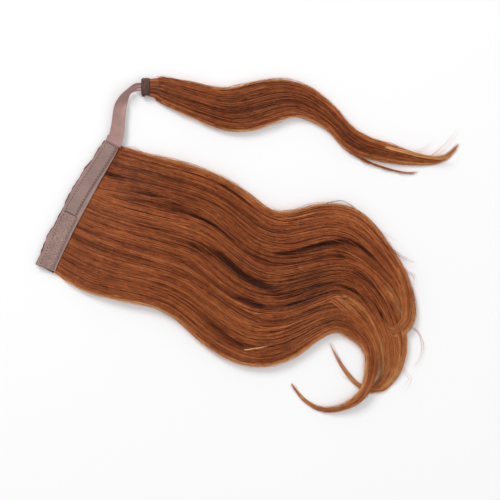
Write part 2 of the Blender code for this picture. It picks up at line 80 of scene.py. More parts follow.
camera_data = bpy.data.cameras.new("camera")
camera_data.sensor_width = SENSOR_WIDTH
camera_data.lens = SENSOR_WIDTH * CAMERA_HEIGHT / VIEW_WIDTH
camera = bpy.data.objects.new("camera", camera_data)
camera.location = (VIEW_MIDDLE.x, VIEW_MIDDLE.y, CAMERA_HEIGHT)
camera.rotation_euler = (0.0, 0.0, VIEW_TURN)
bpy.context.scene.collection.objects.link(camera)
bpy.context.scene.camera = camera
print(f"lens {camera_data.lens:.1f} mm, {CAMERA_HEIGHT} m above the floor")

# %% Lamps and sky
PICTURE_RIGHT = Vector((math.cos(VIEW_TURN), math.sin(VIEW_TURN)))
PICTURE_UP = Vector((-math.sin(VIEW_TURN), math.cos(VIEW_TURN)))
SKY_STRENGTH = 0.70


def lamp(name, right, up, height, size, power):
    """A square soft lamp, placed as seen in the picture and aimed at the middle."""
    data = bpy.data.lights.new(name, "AREA")
    data.shape = "SQUARE"
    data.size = size
    data.energy = power
    made = bpy.data.objects.new(name, data)
    flat = VIEW_MIDDLE + PICTURE_RIGHT * right + PICTURE_UP * up
    made.location = (flat.x, flat.y, height)
    aim = Vector((VIEW_MIDDLE.x, VIEW_MIDDLE.y, 0.0)) - made.location
    made.rotation_euler = aim.to_track_quat("-Z", "Y").to_euler()
    bpy.context.scene.collection.objects.link(made)
    return made


lamp("key_lamp", -1.5, 2.4, 2.1, 1.3, 68.0)
lamp("fill_lamp", 1.6, -0.9, 2.4, 2.2, 12.0)

sky = bpy.data.worlds.new("bright_sky")
sky.use_nodes = True
sky.node_tree.nodes["Background"].inputs["Color"].default_value = (1.0, 1.0, 1.0, 1.0)
sky.node_tree.nodes["Background"].inputs["Strength"].default_value = SKY_STRENGTH
bpy.context.scene.world = sky
bpy.context.scene.view_settings.view_transform = "Standard"
print("lamps:", [o.name for o in bpy.context.scene.objects if o.type == "LIGHT"])

# %% [markdown]
# ## A small language for finishes
# A procedural finish is a sum of waves, noises and stored values. Written as nodes, even
# a short sum takes many lines. A `Wire` wraps one socket, so that `1 - mask * 0.4` adds
# the Math nodes by itself, and `Finish.node` adds any other node in one call.


# %% Wires and finishes
class Wire:
    """An output socket of a material that can be used in sums."""

    def __init__(self, tree, socket):
        self.tree = tree
        self.socket = socket

    def math(self, operation, *values):
        """A Math node on this wire and more wires or numbers, in order."""
        made = self.tree.nodes.new("ShaderNodeMath")
        made.operation = operation
        for place, value in zip(made.inputs, values):
            if isinstance(value, Wire):
                self.tree.links.new(value.socket, place)
            else:
                place.default_value = value
        return Wire(self.tree, made.outputs[0])

    def __add__(self, other):
        return self.math("ADD", self, other)

    __radd__ = __add__

    def __mul__(self, other):
        return self.math("MULTIPLY", self, other)

    __rmul__ = __mul__

    def __sub__(self, other):
        return self.math("SUBTRACT", self, other)

    def __rsub__(self, other):
        return self.math("SUBTRACT", other, self)

    def __truediv__(self, other):
        return self.math("DIVIDE", self, other)

    def sine(self):
        return self.math("SINE", self)

    def clamp(self, low=0.0, high=1.0):
        return self.math("MINIMUM", self.math("MAXIMUM", self, low), high)


class Finish:
    """A material on one Principled shader, built node by node."""

    def __init__(self, name):
        self.material = bpy.data.materials.new(name)
        self.material.use_nodes = True
        self.tree = self.material.node_tree
        self.shader = self.tree.nodes["Principled BSDF"]

    def node(self, kind, settings=None, sockets=None, out=0):
        """Adds a node: its settings first, then its sockets' values or wires."""
        made = self.tree.nodes.new(kind)
        for name, value in (settings or {}).items():
            if name == "stops":
                self.set_stops(made.color_ramp, value)
            else:
                setattr(made, name, value)
        for name, value in (sockets or {}).items():
            if isinstance(value, Wire):
                self.tree.links.new(value.socket, made.inputs[name])
            else:
                made.inputs[name].default_value = value
        return Wire(self.tree, made.outputs[out])

    @staticmethod
    def set_stops(ramp, stops):
        while len(ramp.elements) < len(stops):
            ramp.elements.new(1.0)
        for element, (place, colour) in zip(ramp.elements, stops):
            element.position = place
            element.color = (*colour, 1.0)

    def put(self, **inputs):
        """Sets or links the shader's own sockets; names use _ for a space."""
        for name, value in inputs.items():
            socket = self.shader.inputs[name.replace("_", " ")]
            if isinstance(value, Wire):
                self.tree.links.new(value.socket, socket)
            else:
                socket.default_value = value
        return self.material

    def attribute(self, name, out="Fac"):
        return self.node("ShaderNodeAttribute", {"attribute_name": name}, out=out)

    def split(self, vector):
        """The three parts of a vector, as wires."""
        made = self.tree.nodes.new("ShaderNodeSeparateXYZ")
        self.tree.links.new(vector.socket, made.inputs[0])
        return [Wire(self.tree, socket) for socket in made.outputs]

    def join(self, x, y, z=0.0):
        return self.node("ShaderNodeCombineXYZ", {}, {"X": x, "Y": y, "Z": z})

    def noise(self, vector, scale, detail=3.0, roughness=0.55):
        sockets = {"Vector": vector, "Scale": scale, "Detail": detail, "Roughness": roughness}
        return self.node("ShaderNodeTexNoise", {}, sockets)

    def bump(self, height, distance, strength=1.0):
        sockets = {"Height": height, "Distance": distance, "Strength": strength}
        return self.node("ShaderNodeBump", {}, sockets)


def linear(red, green, blue):
    """A colour given as 0 to 255 screen values, as the shader wants it."""
    parts = []
    for value in (red, green, blue):
        share = value / 255
        parts.append(share / 12.92 if share <= 0.04045 else ((share + 0.055) / 1.055) ** 2.4)
    return tuple(parts)


# %% [markdown]
# ## The floor
# A seamless sheet has no edge in view. It has only a trace of unevenness, so that it
# stays plain and the object's shadow is all that shows on it.

# %% Floor
FLOOR_SIZE = 6.0

floor_finish = Finish("pale_sheet")
floor_place = floor_finish.node("ShaderNodeTexCoord", out="Object")
floor_grain = floor_finish.noise(floor_place, 2.0, 2.0)
floor_white = floor_finish.node(
    "ShaderNodeValToRGB",
    {"stops": ((0.0, linear(241, 241, 242)), (1.0, linear(244, 244, 244)))},
    {"Fac": floor_grain},
)
floor_finish.put(Base_Color=floor_white, Roughness=0.9)

sheet_shape = bmesh.new()
bmesh.ops.create_grid(sheet_shape, x_segments=2, y_segments=2, size=FLOOR_SIZE / 2)
floor_mesh = bpy.data.meshes.new("floor")
sheet_shape.to_mesh(floor_mesh)
sheet_shape.free()
floor_mesh.materials.append(floor_finish.material)
floor = bpy.data.objects.new("floor", floor_mesh)
bpy.context.scene.collection.objects.link(floor)
floor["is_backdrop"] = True

# %% [markdown]
# ## Making a piece
# Every piece is a mesh in its own object. It rides on the one body that the frame has,
# and may stand for a solid of the frame.


# %% Pieces
def piece(name, mesh, material, slot, *stands_for):
    """An object for a finished mesh, on the frame's one body."""
    mesh.materials.clear()
    mesh.materials.append(material)
    made = bpy.data.objects.new(name, mesh)
    bpy.context.scene.collection.objects.link(made)
    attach(made, "root")
    if stands_for:
        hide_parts(*stands_for)
    print(f"{name}: {len(mesh.polygons)} faces")
    return made


def mesh_of(name, shape, sharp=math.radians(45)):
    """The mesh of a bmesh, faces outwards and shaded smooth up to a sharp angle."""
    bmesh.ops.recalc_face_normals(shape, faces=shape.faces)
    mesh = bpy.data.meshes.new(name)
    shape.to_mesh(mesh)
    shape.free()
    mesh.shade_smooth()
    mesh.set_sharp_from_angle(angle=sharp)
    return mesh


def evaluated_mesh(made):
    """The mesh of an object with its modifiers or bevel, as one of its own."""
    graph = bpy.context.evaluated_depsgraph_get()
    return bpy.data.meshes.new_from_object(made.evaluated_get(graph))


# %% [markdown]
# ## How the hair runs
# The hair was first laid out in a few streams: a centre line that turns as its headings
# say, with a half width, a height and a lift off the floor at each share of its length.
# The same tables shaped the solids in the frame, so the strands that are grown along
# them stay where the solids are. A monotone curve through each column never overshoots.

# %% Sizes of the hairpiece
BAND_LENGTH = 0.150
BAND_WIDTH = 0.021
WEFT_HEIGHT = 0.0040
GAP = 0.0003
FLOOR_CLEARANCE = 0.0002
FALL_LENGTH = 0.520
FALL_HEIGHT = 0.0115
ROOT_RISE_RUN = 0.070
WRAP_LENGTH = 0.358
WRAP_WIDTH = 0.049
WRAP_HEIGHT = 0.0105
STREAM_START = 0.01444
ROOT_DEPTH = 0.0112
PATH_STEPS = 240
LOCK_TIP_SHARE = 0.16
TIP_SIZE = 0.0007
KNOT_HEADING = 28.0

# %% Tables of the streams
Bend = namedtuple("Bend", "along heading half_width height lift")
UPPER_STREAM = (
    Bend(0.00, 17, 0.206, 0.86, 0.00),
    Bend(0.04, 16, 0.197, 0.88, 0.00),
    Bend(0.10, 15, 0.182, 0.92, 0.00),
    Bend(0.20, 11, 0.180, 1.00, 0.00),
    Bend(0.25, 6, 0.178, 1.00, 0.00),
    Bend(0.31, -7, 0.177, 0.96, 0.00),
    Bend(0.37, -13, 0.183, 0.94, 0.00),
    Bend(0.44, 8, 0.199, 0.98, 0.00),
    Bend(0.50, 34, 0.202, 1.00, 0.00),
    Bend(0.56, 43, 0.205, 1.00, 0.00),
    Bend(0.63, 15, 0.200, 0.96, 0.00),
    Bend(0.69, -11, 0.162, 0.90, 0.00),
    Bend(0.75, -19, 0.124, 0.85, 0.00),
    Bend(0.81, -26, 0.090, 0.80, 0.00),
    Bend(0.88, -47, 0.060, 0.68, 0.10),
    Bend(0.925, -80, 0.052, 0.54, 0.32),
    Bend(0.955, -124, 0.038, 0.42, 0.44),
    Bend(0.985, -172, 0.024, 0.32, 0.48),
    Bend(1.015, -214, 0.010, 0.22, 0.50),
)
MIDDLE_STREAM = (
    Bend(0.00, 6, 0.192, 0.90, 0.00),
    Bend(0.10, 13, 0.198, 0.94, 0.00),
    Bend(0.15, 14, 0.200, 0.98, 0.00),
    Bend(0.20, 10, 0.204, 1.00, 0.00),
    Bend(0.25, -8, 0.206, 1.00, 0.00),
    Bend(0.30, -12, 0.206, 0.96, 0.00),
    Bend(0.35, 0, 0.206, 0.94, 0.00),
    Bend(0.40, 24, 0.204, 0.98, 0.00),
    Bend(0.45, 44, 0.190, 1.00, 0.00),
    Bend(0.50, 45, 0.168, 1.00, 0.00),
    Bend(0.55, 18, 0.156, 0.96, 0.00),
    Bend(0.594, -16, 0.134, 0.88, 0.00),
    Bend(0.644, -32, 0.121, 0.80, 0.00),
    Bend(0.694, -45, 0.112, 0.70, 0.00),
    Bend(0.744, -63, 0.094, 0.60, 0.00),
    Bend(0.794, -96, 0.058, 0.48, 0.00),
    Bend(0.842, -150, 0.022, 0.32, 0.00),
    Bend(0.885, -198, 0.008, 0.18, 0.00),
)
LOWER_STREAM = (
    Bend(0.00, -6, 0.168, 0.84, 0.00),
    Bend(0.05, 4, 0.188, 0.90, 0.00),
    Bend(0.10, 13, 0.181, 0.94, 0.00),
    Bend(0.15, 15, 0.175, 0.98, 0.00),
    Bend(0.20, 11, 0.169, 1.00, 0.00),
    Bend(0.25, -1, 0.174, 1.00, 0.00),
    Bend(0.30, -13, 0.178, 0.96, 0.00),
    Bend(0.35, -7, 0.190, 0.94, 0.00),
    Bend(0.40, 3, 0.192, 0.98, 0.00),
    Bend(0.45, 28, 0.184, 1.00, 0.00),
    Bend(0.50, 49, 0.154, 0.98, 0.00),
    Bend(0.55, 56, 0.118, 0.94, 0.00),
    Bend(0.591, 43, 0.110, 0.92, 0.00),
    Bend(0.641, -3, 0.116, 0.88, 0.00),
    Bend(0.691, -31, 0.088, 0.80, 0.00),
    Bend(0.741, -66, 0.060, 0.70, 0.06),
    Bend(0.791, -82, 0.045, 0.60, 0.20),
    Bend(0.839, -118, 0.034, 0.50, 0.24),
    Bend(0.887, -144, 0.024, 0.40, 0.10),
    Bend(0.938, -184, 0.014, 0.28, 0.00),
    Bend(0.997, -217, 0.006, 0.18, 0.00),
)
WRAP_STREAM = (
    Bend(0.00, KNOT_HEADING, 0.20, 0.70, 0.00),
    Bend(0.05, 11, 0.28, 0.88, 0.00),
    Bend(0.11, 9.5, 0.325, 0.96, 0.00),
    Bend(0.17, 9.5, 0.362, 1.00, 0.00),
    Bend(0.22, 14.5, 0.41, 1.00, 0.00),
    Bend(0.28, 33, 0.465, 1.00, 0.00),
    Bend(0.33, 45.5, 0.475, 1.00, 0.00),
    Bend(0.39, 39, 0.435, 0.98, 0.00),
    Bend(0.44, 23, 0.378, 0.94, 0.00),
    Bend(0.50, 1, 0.304, 0.88, 0.00),
    Bend(0.56, -11, 0.238, 0.82, 0.00),
    Bend(0.61, -22, 0.208, 0.78, 0.00),
    Bend(0.67, -3, 0.226, 0.76, 0.00),
    Bend(0.72, 12, 0.208, 0.72, 0.00),
    Bend(0.78, 14, 0.182, 0.64, 0.00),
    Bend(0.83, 16, 0.142, 0.54, 0.00),
    Bend(0.89, 25, 0.088, 0.42, 0.00),
    Bend(0.94, 56, 0.046, 0.30, 0.00),
    Bend(1.00, 90, 0.012, 0.16, 0.00),
)
STRAY_STREAM = (
    Bend(0.00, -22, 0.070, 0.46, 0.00),
    Bend(0.25, -21, 0.050, 0.34, 0.00),
    Bend(0.36, -8, 0.040, 0.28, 0.00),
    Bend(0.50, 3, 0.034, 0.24, 0.00),
    Bend(0.62, 10, 0.030, 0.22, 0.00),
    Bend(0.78, 15, 0.024, 0.20, 0.00),
    Bend(0.90, 25, 0.017, 0.17, 0.00),
    Bend(1.00, 42, 0.011, 0.14, 0.00),
)

# %% Tables of the locks
Lock = namedtuple("Lock", "across width height reach")
UPPER_LOCKS = (
    Lock(-0.66, 0.38, 0.92, 0.90),
    Lock(-0.20, 0.36, 1.00, 1.00),
    Lock(0.25, 0.35, 0.93, 0.98),
    Lock(0.66, 0.34, 0.80, 0.97),
)
MIDDLE_LOCKS = (
    Lock(-0.66, 0.37, 0.90, 0.93),
    Lock(-0.22, 0.36, 1.00, 0.965),
    Lock(0.22, 0.36, 0.88, 0.94),
    Lock(0.66, 0.37, 0.96, 0.95),
)
LOWER_LOCKS = (
    Lock(-0.66, 0.34, 0.76, 0.86),
    Lock(-0.26, 0.34, 0.92, 1.00),
    Lock(0.20, 0.37, 1.00, 0.94),
    Lock(0.66, 0.38, 0.86, 0.78),
)
WRAP_LOCKS = (
    Lock(-0.68, 0.33, 0.78, 0.96),
    Lock(-0.24, 0.36, 0.98, 1.00),
    Lock(0.26, 0.36, 0.92, 0.98),
    Lock(0.69, 0.32, 0.76, 0.94),
)
WRAP_CORE = Lock(0.0, 0.52, 0.90, 1.00)
STRAY_LOCK = Lock(0.0, 1.0, 1.0, 1.0)


# %% Reading a table
def smooth(rows, column):
    """A function of the share along that passes through a table's column."""
    places = np.array([row.along for row in rows])
    values = np.array([getattr(row, column) for row in rows], float)
    rises = np.diff(values) / np.diff(places)
    before, after = rises[:-1], rises[1:]
    same_way = before * after > 0
    total = np.where(same_way, before + after, 1.0)
    inner = np.where(same_way, 2 * before * after / total, 0.0)
    slopes = np.concatenate([rises[:1], inner, rises[-1:]])

    def value_at(share):
        index = np.clip(np.searchsorted(places, share, side="right") - 1, 0, len(rises) - 1)
        run = places[index + 1] - places[index]
        part = np.clip((share - places[index]) / run, 0.0, 1.0)
        rest = 1.0 - part
        start = (1 + 2 * part) * rest**2 * values[index] + part * rest**2 * run * slopes[index]
        end = part**2 * (3 - 2 * part) * values[index + 1]
        return start + end - part**2 * rest * run * slopes[index + 1]

    return value_at


# %% Following a stream
SQUARE_RUN = 0.022


def line_of(rows, length, start):
    """Shares, places and headings along a line that turns as its table says."""
    last = rows[-1].along
    share = np.linspace(0.0, last, PATH_STEPS + 1)
    heading_at = smooth(rows, "heading")
    middle = np.radians(heading_at(share[:-1] + 0.5 * last / PATH_STEPS))
    moves = np.stack([np.cos(middle), np.sin(middle)], axis=1) * length * last / PATH_STEPS
    place = np.concatenate([[[0.0, 0.0]], np.cumsum(moves, axis=0)]) + np.array(start)
    return share, place, np.radians(heading_at(share))


class Flow:
    """A stream's centre line, sampled finely, with its width and height at each share."""

    def __init__(self, rows, length, start, width, height, lead, lead_heading):
        self.length = length
        self.last = rows[-1].along
        share, place, heading = line_of(rows, length, start)
        back = np.linspace(-lead, 0.0, 6)[:-1]
        ahead = np.array([math.cos(lead_heading), math.sin(lead_heading)])
        self.share = np.concatenate([back / length, share])
        self.place = np.concatenate([place[0] + back[:, None] * ahead, place])
        heading = np.concatenate([np.full(len(back), lead_heading), heading])
        square = np.clip(self.share * length / SQUARE_RUN, 0.0, 1.0)
        self.across = lead_heading + (heading - lead_heading) * square
        self.width = smooth(rows, "half_width")(self.share) * width
        self.height = smooth(rows, "height")(self.share) * height
        self.lift = smooth(rows, "lift")(self.share) * height
        turn = np.abs(np.gradient(heading, self.share * length))
        effort = turn / math.radians(16.0) + 1 / 0.024
        steps = np.diff(self.share * length) * 0.5 * (effort[1:] + effort[:-1])
        self.effort = np.concatenate([[0.0], np.cumsum(steps)])

    def at(self, column, share):
        """A sampled column at any shares."""
        return np.interp(share, self.share, getattr(self, column))

    def beside(self, share, across):
        """The floor place at a share of the line and a distance to its left."""
        x = np.interp(share, self.share, self.place[:, 0])
        y = np.interp(share, self.share, self.place[:, 1])
        angle = self.at("across", share)
        return x - np.sin(angle) * across, y + np.cos(angle) * across

    def shares(self, start, end, count):
        """Count shares from start to end for each strand, closer where it curls."""
        low = np.interp(start, self.share, self.effort)[:, None]
        high = np.interp(end, self.share, self.effort)[:, None]
        effort = low + (high - low) * np.linspace(0.0, 1.0, count)[None, :]
        return np.interp(effort, self.effort, self.share)


def fall_flow(rows, length_share, band_share):
    start = (STREAM_START, band_share * BAND_LENGTH)
    return Flow(rows, length_share * FALL_LENGTH, start, BAND_LENGTH, FALL_HEIGHT, ROOT_DEPTH, 0.0)


fall_flows = {
    "upper": fall_flow(UPPER_STREAM, 0.794, 0.306),
    "middle": fall_flow(MIDDLE_STREAM, 1.015, -0.008),
    "lower": fall_flow(LOWER_STREAM, 0.982, -0.314),
}
for flow_name, flow in fall_flows.items():
    tip = flow.place[-1] / MM
    print(f"{flow_name} stream ends at x {tip[0]:.0f}, y {tip[1]:.0f} mm")

# %% Tables of the band and the strap
STRAP_LENGTH = 0.0773
STRAP_WIDTH = 0.0155
BINDING_LENGTH = 0.0095
BINDING_WIDTH = 0.018
BINDING_HEIGHT = 0.009
Edge = namedtuple("Edge", "along left right tape")
BAND_EDGES = (
    Edge(0.00, -0.37, 0.64, 0.08),
    Edge(0.08, -0.40, 0.58, 0.05),
    Edge(0.16, -0.48, 0.55, 0.01),
    Edge(0.22, -0.53, 0.52, -0.02),
    Edge(0.30, -0.48, 0.50, -0.05),
    Edge(0.43, -0.48, 0.49, -0.07),
    Edge(0.50, -0.52, 0.49, -0.07),
    Edge(0.59, -0.53, 0.50, -0.05),
    Edge(0.66, -0.47, 0.50, -0.02),
    Edge(0.74, -0.46, 0.51, 0.02),
    Edge(0.83, -0.34, 0.53, 0.09),
    Edge(0.92, -0.30, 0.55, 0.13),
    Edge(1.00, -0.24, 0.54, 0.15),
)
Turn = namedtuple("Turn", "along heading width roll")
STRAP_TURNS = (
    Turn(0.00, 90, 1.00, 0),
    Turn(0.08, 98, 0.98, 0),
    Turn(0.16, 108, 0.95, 0),
    Turn(0.27, 112, 0.87, 3),
    Turn(0.38, 113, 0.82, 6),
    Turn(0.50, 104, 0.80, 10),
    Turn(0.63, 93, 0.76, 38),
    Turn(0.76, 68, 0.68, 62),
    Turn(0.85, 46, 0.60, 38),
    Turn(0.93, 31, 0.54, 0),
    Turn(1.00, KNOT_HEADING, 0.52, 0),
)
tape_middle = smooth(BAND_EDGES, "tape")
seam_x = float(tape_middle(1.0)) * BAND_WIDTH + STRAP_WIDTH * 0.06
strap_share, strap_place, strap_heading = line_of(
    STRAP_TURNS, STRAP_LENGTH, (seam_x, BAND_LENGTH / 2)
)
knot_place = strap_place[-1]
knot_heading = math.radians(KNOT_HEADING)
knot_ahead = np.array([math.cos(knot_heading), math.sin(knot_heading)])
BINDING_MIDDLE = FLOOR_CLEARANCE + BINDING_HEIGHT / 2
print(f"the binding's middle is at x {knot_place[0] / MM:.1f}, y {knot_place[1] / MM:.1f} mm")

# %% The wrap's flows
NECK_LEAD = 0.003
NECK_END = 0.0048
NECK_FLARE = 0.010
NECK_WIDTH = 0.0076
NECK_HEIGHT = 0.0024
NECK_LEVEL = 0.0040
STRAY_LEAVES_AT = 0.58
STRAY_ACROSS = -0.66
STRAY_LENGTH_SHARE = 0.315

wrap_flow = Flow(
    WRAP_STREAM, WRAP_LENGTH, knot_place, WRAP_WIDTH, WRAP_HEIGHT, NECK_LEAD, knot_heading
)
stray_start = wrap_flow.beside(
    STRAY_LEAVES_AT, wrap_flow.at("width", STRAY_LEAVES_AT) * STRAY_ACROSS
)
stray_flow = Flow(
    STRAY_STREAM, STRAY_LENGTH_SHARE * WRAP_LENGTH, stray_start,
    WRAP_WIDTH, WRAP_HEIGHT, 0.002, math.radians(STRAY_STREAM[0].heading),
)

# %% [markdown]
# ## The shape of a lock
# Seen on its cut, combed hair that lies on a table is flat underneath and round on top.
# By the band the whole fall is one even sheet, so there a lock's cut is nearly a box and
# joins its neighbours. Further out each lock gathers into a round one of its own. One
# function gives the place of any point of a lock. The dark mass inside and the single
# strands around it are both made with it.

# %% The place of a point in a lock
UNDER_HEIGHT = WEFT_HEIGHT - 2 * GAP
ROUND_POWER = 2.2
Side = namedtuple("Side", "flow lock outer is_wrap")


def lock_height(side, share):
    """How high a lock stands at a share: level with its neighbours near the root."""
    flow, lock = side.flow, side.lock
    if side.is_wrap:
        return flow.at("height", share) * lock.height
    own = np.interp(share / flow.last, (0.10, 0.45), (1.0, lock.height))
    rise = np.sin(np.pi / 2 * np.clip(share * flow.length / ROOT_RISE_RUN, 0.0, 1.0))
    return UNDER_HEIGHT + (flow.at("height", share) * own - UNDER_HEIGHT) * rise


def lock_point(side, share, across, level, fill=1.0):
    """Points of a lock: across from -1 to 1, level 0 at its flat bottom and 1 on top."""
    flow, lock = side.flow, side.lock
    run = np.clip(share / (lock.reach * flow.last), 0.0, 1.0)
    left_run = (lock.reach * flow.last - share) / (LOCK_TIP_SHARE * flow.last)
    taper = np.sin(np.pi / 2 * np.clip(left_run, 0.0, 1.0))
    width = flow.at("width", share)
    half = np.maximum(lock.width * width * taper, TIP_SIZE)
    power = np.interp(run, (0.0, 0.25, 0.55, 1.0), (9.0, 6.0, 2.6, 2.0))
    power = np.where(across * side.outer > 0, np.minimum(power, ROUND_POWER), power)
    top = np.sqrt(np.clip(1 - np.abs(np.clip(across, -1, 1)) ** power, 0.0, 1.0))
    height = np.maximum(lock_height(side, share) * taper, TIP_SIZE)
    x, y = flow.beside(share, width * lock.across + half * across * fill)
    z = FLOOR_CLEARANCE + flow.at("lift", share) + height * top * level * fill
    if not side.is_wrap:
        return x, y, z
    whole = np.clip(lock.across + lock.width * across, -1.0, 1.0)
    neck_x, neck_y = flow.beside(share, NECK_WIDTH * whole * fill)
    bulge = np.sqrt(1 - whole**2)
    neck_z = NECK_LEVEL + NECK_HEIGHT * bulge * (2 * level - 1) * fill
    part = np.clip((share * flow.length - NECK_END) / NECK_FLARE, 0.0, 1.0)
    part = np.sin(np.pi / 2 * part) ** 2
    return (
        x * part + neck_x * (1 - part),
        y * part + neck_y * (1 - part),
        z * part + neck_z * (1 - part),
    )


def sides_of(flow, locks, is_wrap=False):
    """Each lock of a stream, with which of its sides is on the outside, if any."""
    return [Side(flow, lock, float(np.sign(lock.across)) * (abs(lock.across) > 0.5), is_wrap)
            for lock in locks]


upper_sides = sides_of(fall_flows["upper"], UPPER_LOCKS)
middle_sides = sides_of(fall_flows["middle"], MIDDLE_LOCKS)
lower_sides = sides_of(fall_flows["lower"], LOWER_LOCKS)
wrap_sides = sides_of(wrap_flow, WRAP_LOCKS + (WRAP_CORE,), True)
stray_side = Side(stray_flow, STRAY_LOCK, 0.0, False)._replace(outer=1.0)

# %% [markdown]
# ## Partings
# Hair doesn't lie as an even carpet: it opens in partings, where the eye looks down
# between two locks into the dark. Each parting here is a line of a few points on the
# floor plan. Strands near it are pushed aside and down, and painted darker there as
# painted shade.

# %% Table of partings
# The dark column is how much painted shade a parting lays on the hair near it.
Parting = namedtuple("Parting", "reach depth dark points")
PARTINGS = (
    Parting(2.6, 1.6, 0.34, ((4, 46), (22, 44.8), (37, 45), (56, 45.4), (74, 47.4))),
    Parting(2.2, 1.2, 0.18, ((62, 46), (79, 48.2), (100, 49.5), (118, 50))),
    Parting(1.2, 0.8, 0.24, ((52, 52), (64, 50), (79, 51))),
    Parting(1.3, 1.2, 0.34, ((92, 48), (113, 48.5), (126, 49.3), (140, 49.2), (167, 47.7))),
    Parting(1.5, 1.2, 0.26, ((64, 18), (83, 18.1), (110, 18.7), (125, 20.2), (138, 21.6))),
    Parting(3.4, 2.6, 0.30, ((122, 20), (138, 21.6), (151, 24.1), (165, 23.3), (176, 19.9),
                             (188, 16.9), (201, 16.2), (220, 18.7), (241, 21.3), (254, 31))),
    Parting(1.4, 1.2, 0.24, ((116, 91.5), (122, 90.8), (136, 90), (151, 87.2), (165, 84.8))),
    Parting(2.6, 2.6, 0.36, ((200, 47), (222, 60.9), (237, 76.1), (252, 89.1), (265, 97.9),
                             (280, 102.5), (294, 99.3), (308, 92))),
    Parting(1.6, 1.2, 0.22, ((240, 9), (251, 17), (258, 25))),
    Parting(1.4, 1.2, 0.28, ((240, 43.5), (244, 46), (258, 54))),
    Parting(1.7, 1.6, 0.30, ((242, 34), (262, 45), (277, 54.5), (292, 57), (311, 58.2),
                             (328, 55), (343, 43.5), (352, 30))),
    Parting(1.4, 1.2, 0.24, ((284, 75.5), (302, 74.9), (318, 71.1), (332, 62))),
    Parting(2.0, 1.8, 0.30, ((260, -8), (275, 3.8), (288, 14.7), (296, 21.5))),
    Parting(2.8, 2.4, 0.32, ((186, -4), (200, -5.2), (212, -4.6), (228, -1.5))),
    Parting(2.6, 2.4, 0.36, ((165, -28.5), (173, -33.6), (182, -38.8), (192.5, -43.8), (201, -47.2),
                             (210.5, -49.4), (220, -48.6), (230, -43.6))),
    Parting(1.2, 1.0, 0.20, ((110, -22.5), (130, -19.6), (150, -20.4))),
    Parting(3.2, 2.6, 0.34, ((334, 60), (341, 58.3), (350, 54.3), (359, 51.7))),
    Parting(1.3, 1.2, 0.22, ((288, 124), (304, 116), (320, 107.7), (344, 90), (356, 75))),
)


def nearest_on(points, x, y):
    """Distance and side (1 left, -1 right) of places to a line, and the share along it."""
    line = np.array(points, float) * MM
    begin, step = line[:-1], np.diff(line, axis=0)
    lengths = np.linalg.norm(step, axis=1)
    before = np.concatenate([[0.0], np.cumsum(lengths)[:-1]])
    best = np.full(x.shape, 1e9)
    sign = np.ones(x.shape)
    share = np.zeros(x.shape)
    for index in range(len(step)):
        dx, dy = x - begin[index, 0], y - begin[index, 1]
        part = (dx * step[index, 0] + dy * step[index, 1]) / lengths[index] ** 2
        held = np.clip(part, 0.0, 1.0)
        away = np.hypot(dx - held * step[index, 0], dy - held * step[index, 1])
        closer = away < best
        best = np.where(closer, away, best)
        turned = np.sign(step[index, 0] * dy - step[index, 1] * dx)
        sign = np.where(closer, turned, sign)
        along = (before[index] + held * lengths[index]) / lengths.sum()
        share = np.where(closer, along, share)
    return best, sign, share


def open_partings(x, y, z):
    """Pushes points away from each parting and returns them with the painted shade there."""
    dark = np.zeros(x.shape)
    for parting in PARTINGS:
        away, sign, share = nearest_on(parting.points, x, y)
        reach = parting.reach * MM
        pull = np.exp(-((away / reach) ** 2)) * np.clip(np.minimum(share, 1 - share) * 6, 0.0, 1.0)
        line = np.array(parting.points, float)
        heading = np.interp(share, np.linspace(0, 1, len(line) - 1),
                            np.unwrap(np.arctan2(*np.diff(line, axis=0).T[::-1])))
        push = sign * pull * reach * 0.42
        x = x - np.sin(heading) * push
        y = y + np.cos(heading) * push
        z = z - parting.depth * MM * pull * np.clip(z / (4 * MM), 0.0, 1.0)
        dark = dark + parting.dark * pull
    return x, y, z, dark


# %% Broad patches of painted sheen and shade
Patch = namedtuple("Patch", "x y reach tone")
# Each patch paints sheen (a lighter tone) or shade (a darker one) over a soft round area.
SHEEN_AND_SHADE_PATCHES = (
    Patch(38, 66, 36, -0.125),
    Patch(34, -34, 34, -0.130),
    Patch(98, 70, 26, -0.030),
    Patch(114, -6, 20, -0.070),
    Patch(190, 30, 26, -0.060),
    Patch(202, -16, 20, 0.030),
    Patch(252, 112, 26, 0.060),
    Patch(268, 75, 22, -0.065),
    Patch(314, 100, 18, -0.050),
    Patch(258, 32, 26, -0.150),
    Patch(340, 22, 16, 0.030),
    Patch(349, 57, 11, -0.120),
    Patch(320, 60, 16, -0.080),
    Patch(307, 217, 30, 0.080),
    Patch(322, 236, 12, 0.160),
    Patch(298, -66, 15, 0.180),
)


def painted_sheen_and_shade(x, y):
    """Painted sheen and shade: how much lighter or darker the hair is painted at a place on the floor
    plan.
    """
    tone = np.zeros(x.shape)
    for patch in SHEEN_AND_SHADE_PATCHES:
        away = np.hypot(x - patch.x * MM, y - patch.y * MM) / (patch.reach * MM)
        tone = tone + patch.tone * np.exp(-(away**2))
    return tone


# %% [markdown]
# ## The mass inside the locks
# Thousands of strands lie under the ones that show. They are never seen one by one, so
# a plain tube per lock stands for them, a little smaller than the lock, dark, and
# streaked along its run. The dark is painted shade: the hair's colour darkened for the
# depth of the lock, with the partings' painted shade and the broad painted sheen and
# shade on top. A grid is wrapped into each tube: one way of the grid runs
# along the lock and the other goes round it.

# %% Tubes for the mass
BODY_FILL = 0.88
BODY_REACH = 0.93
BODY_SIDES = 20
BODY_RINGS = 64


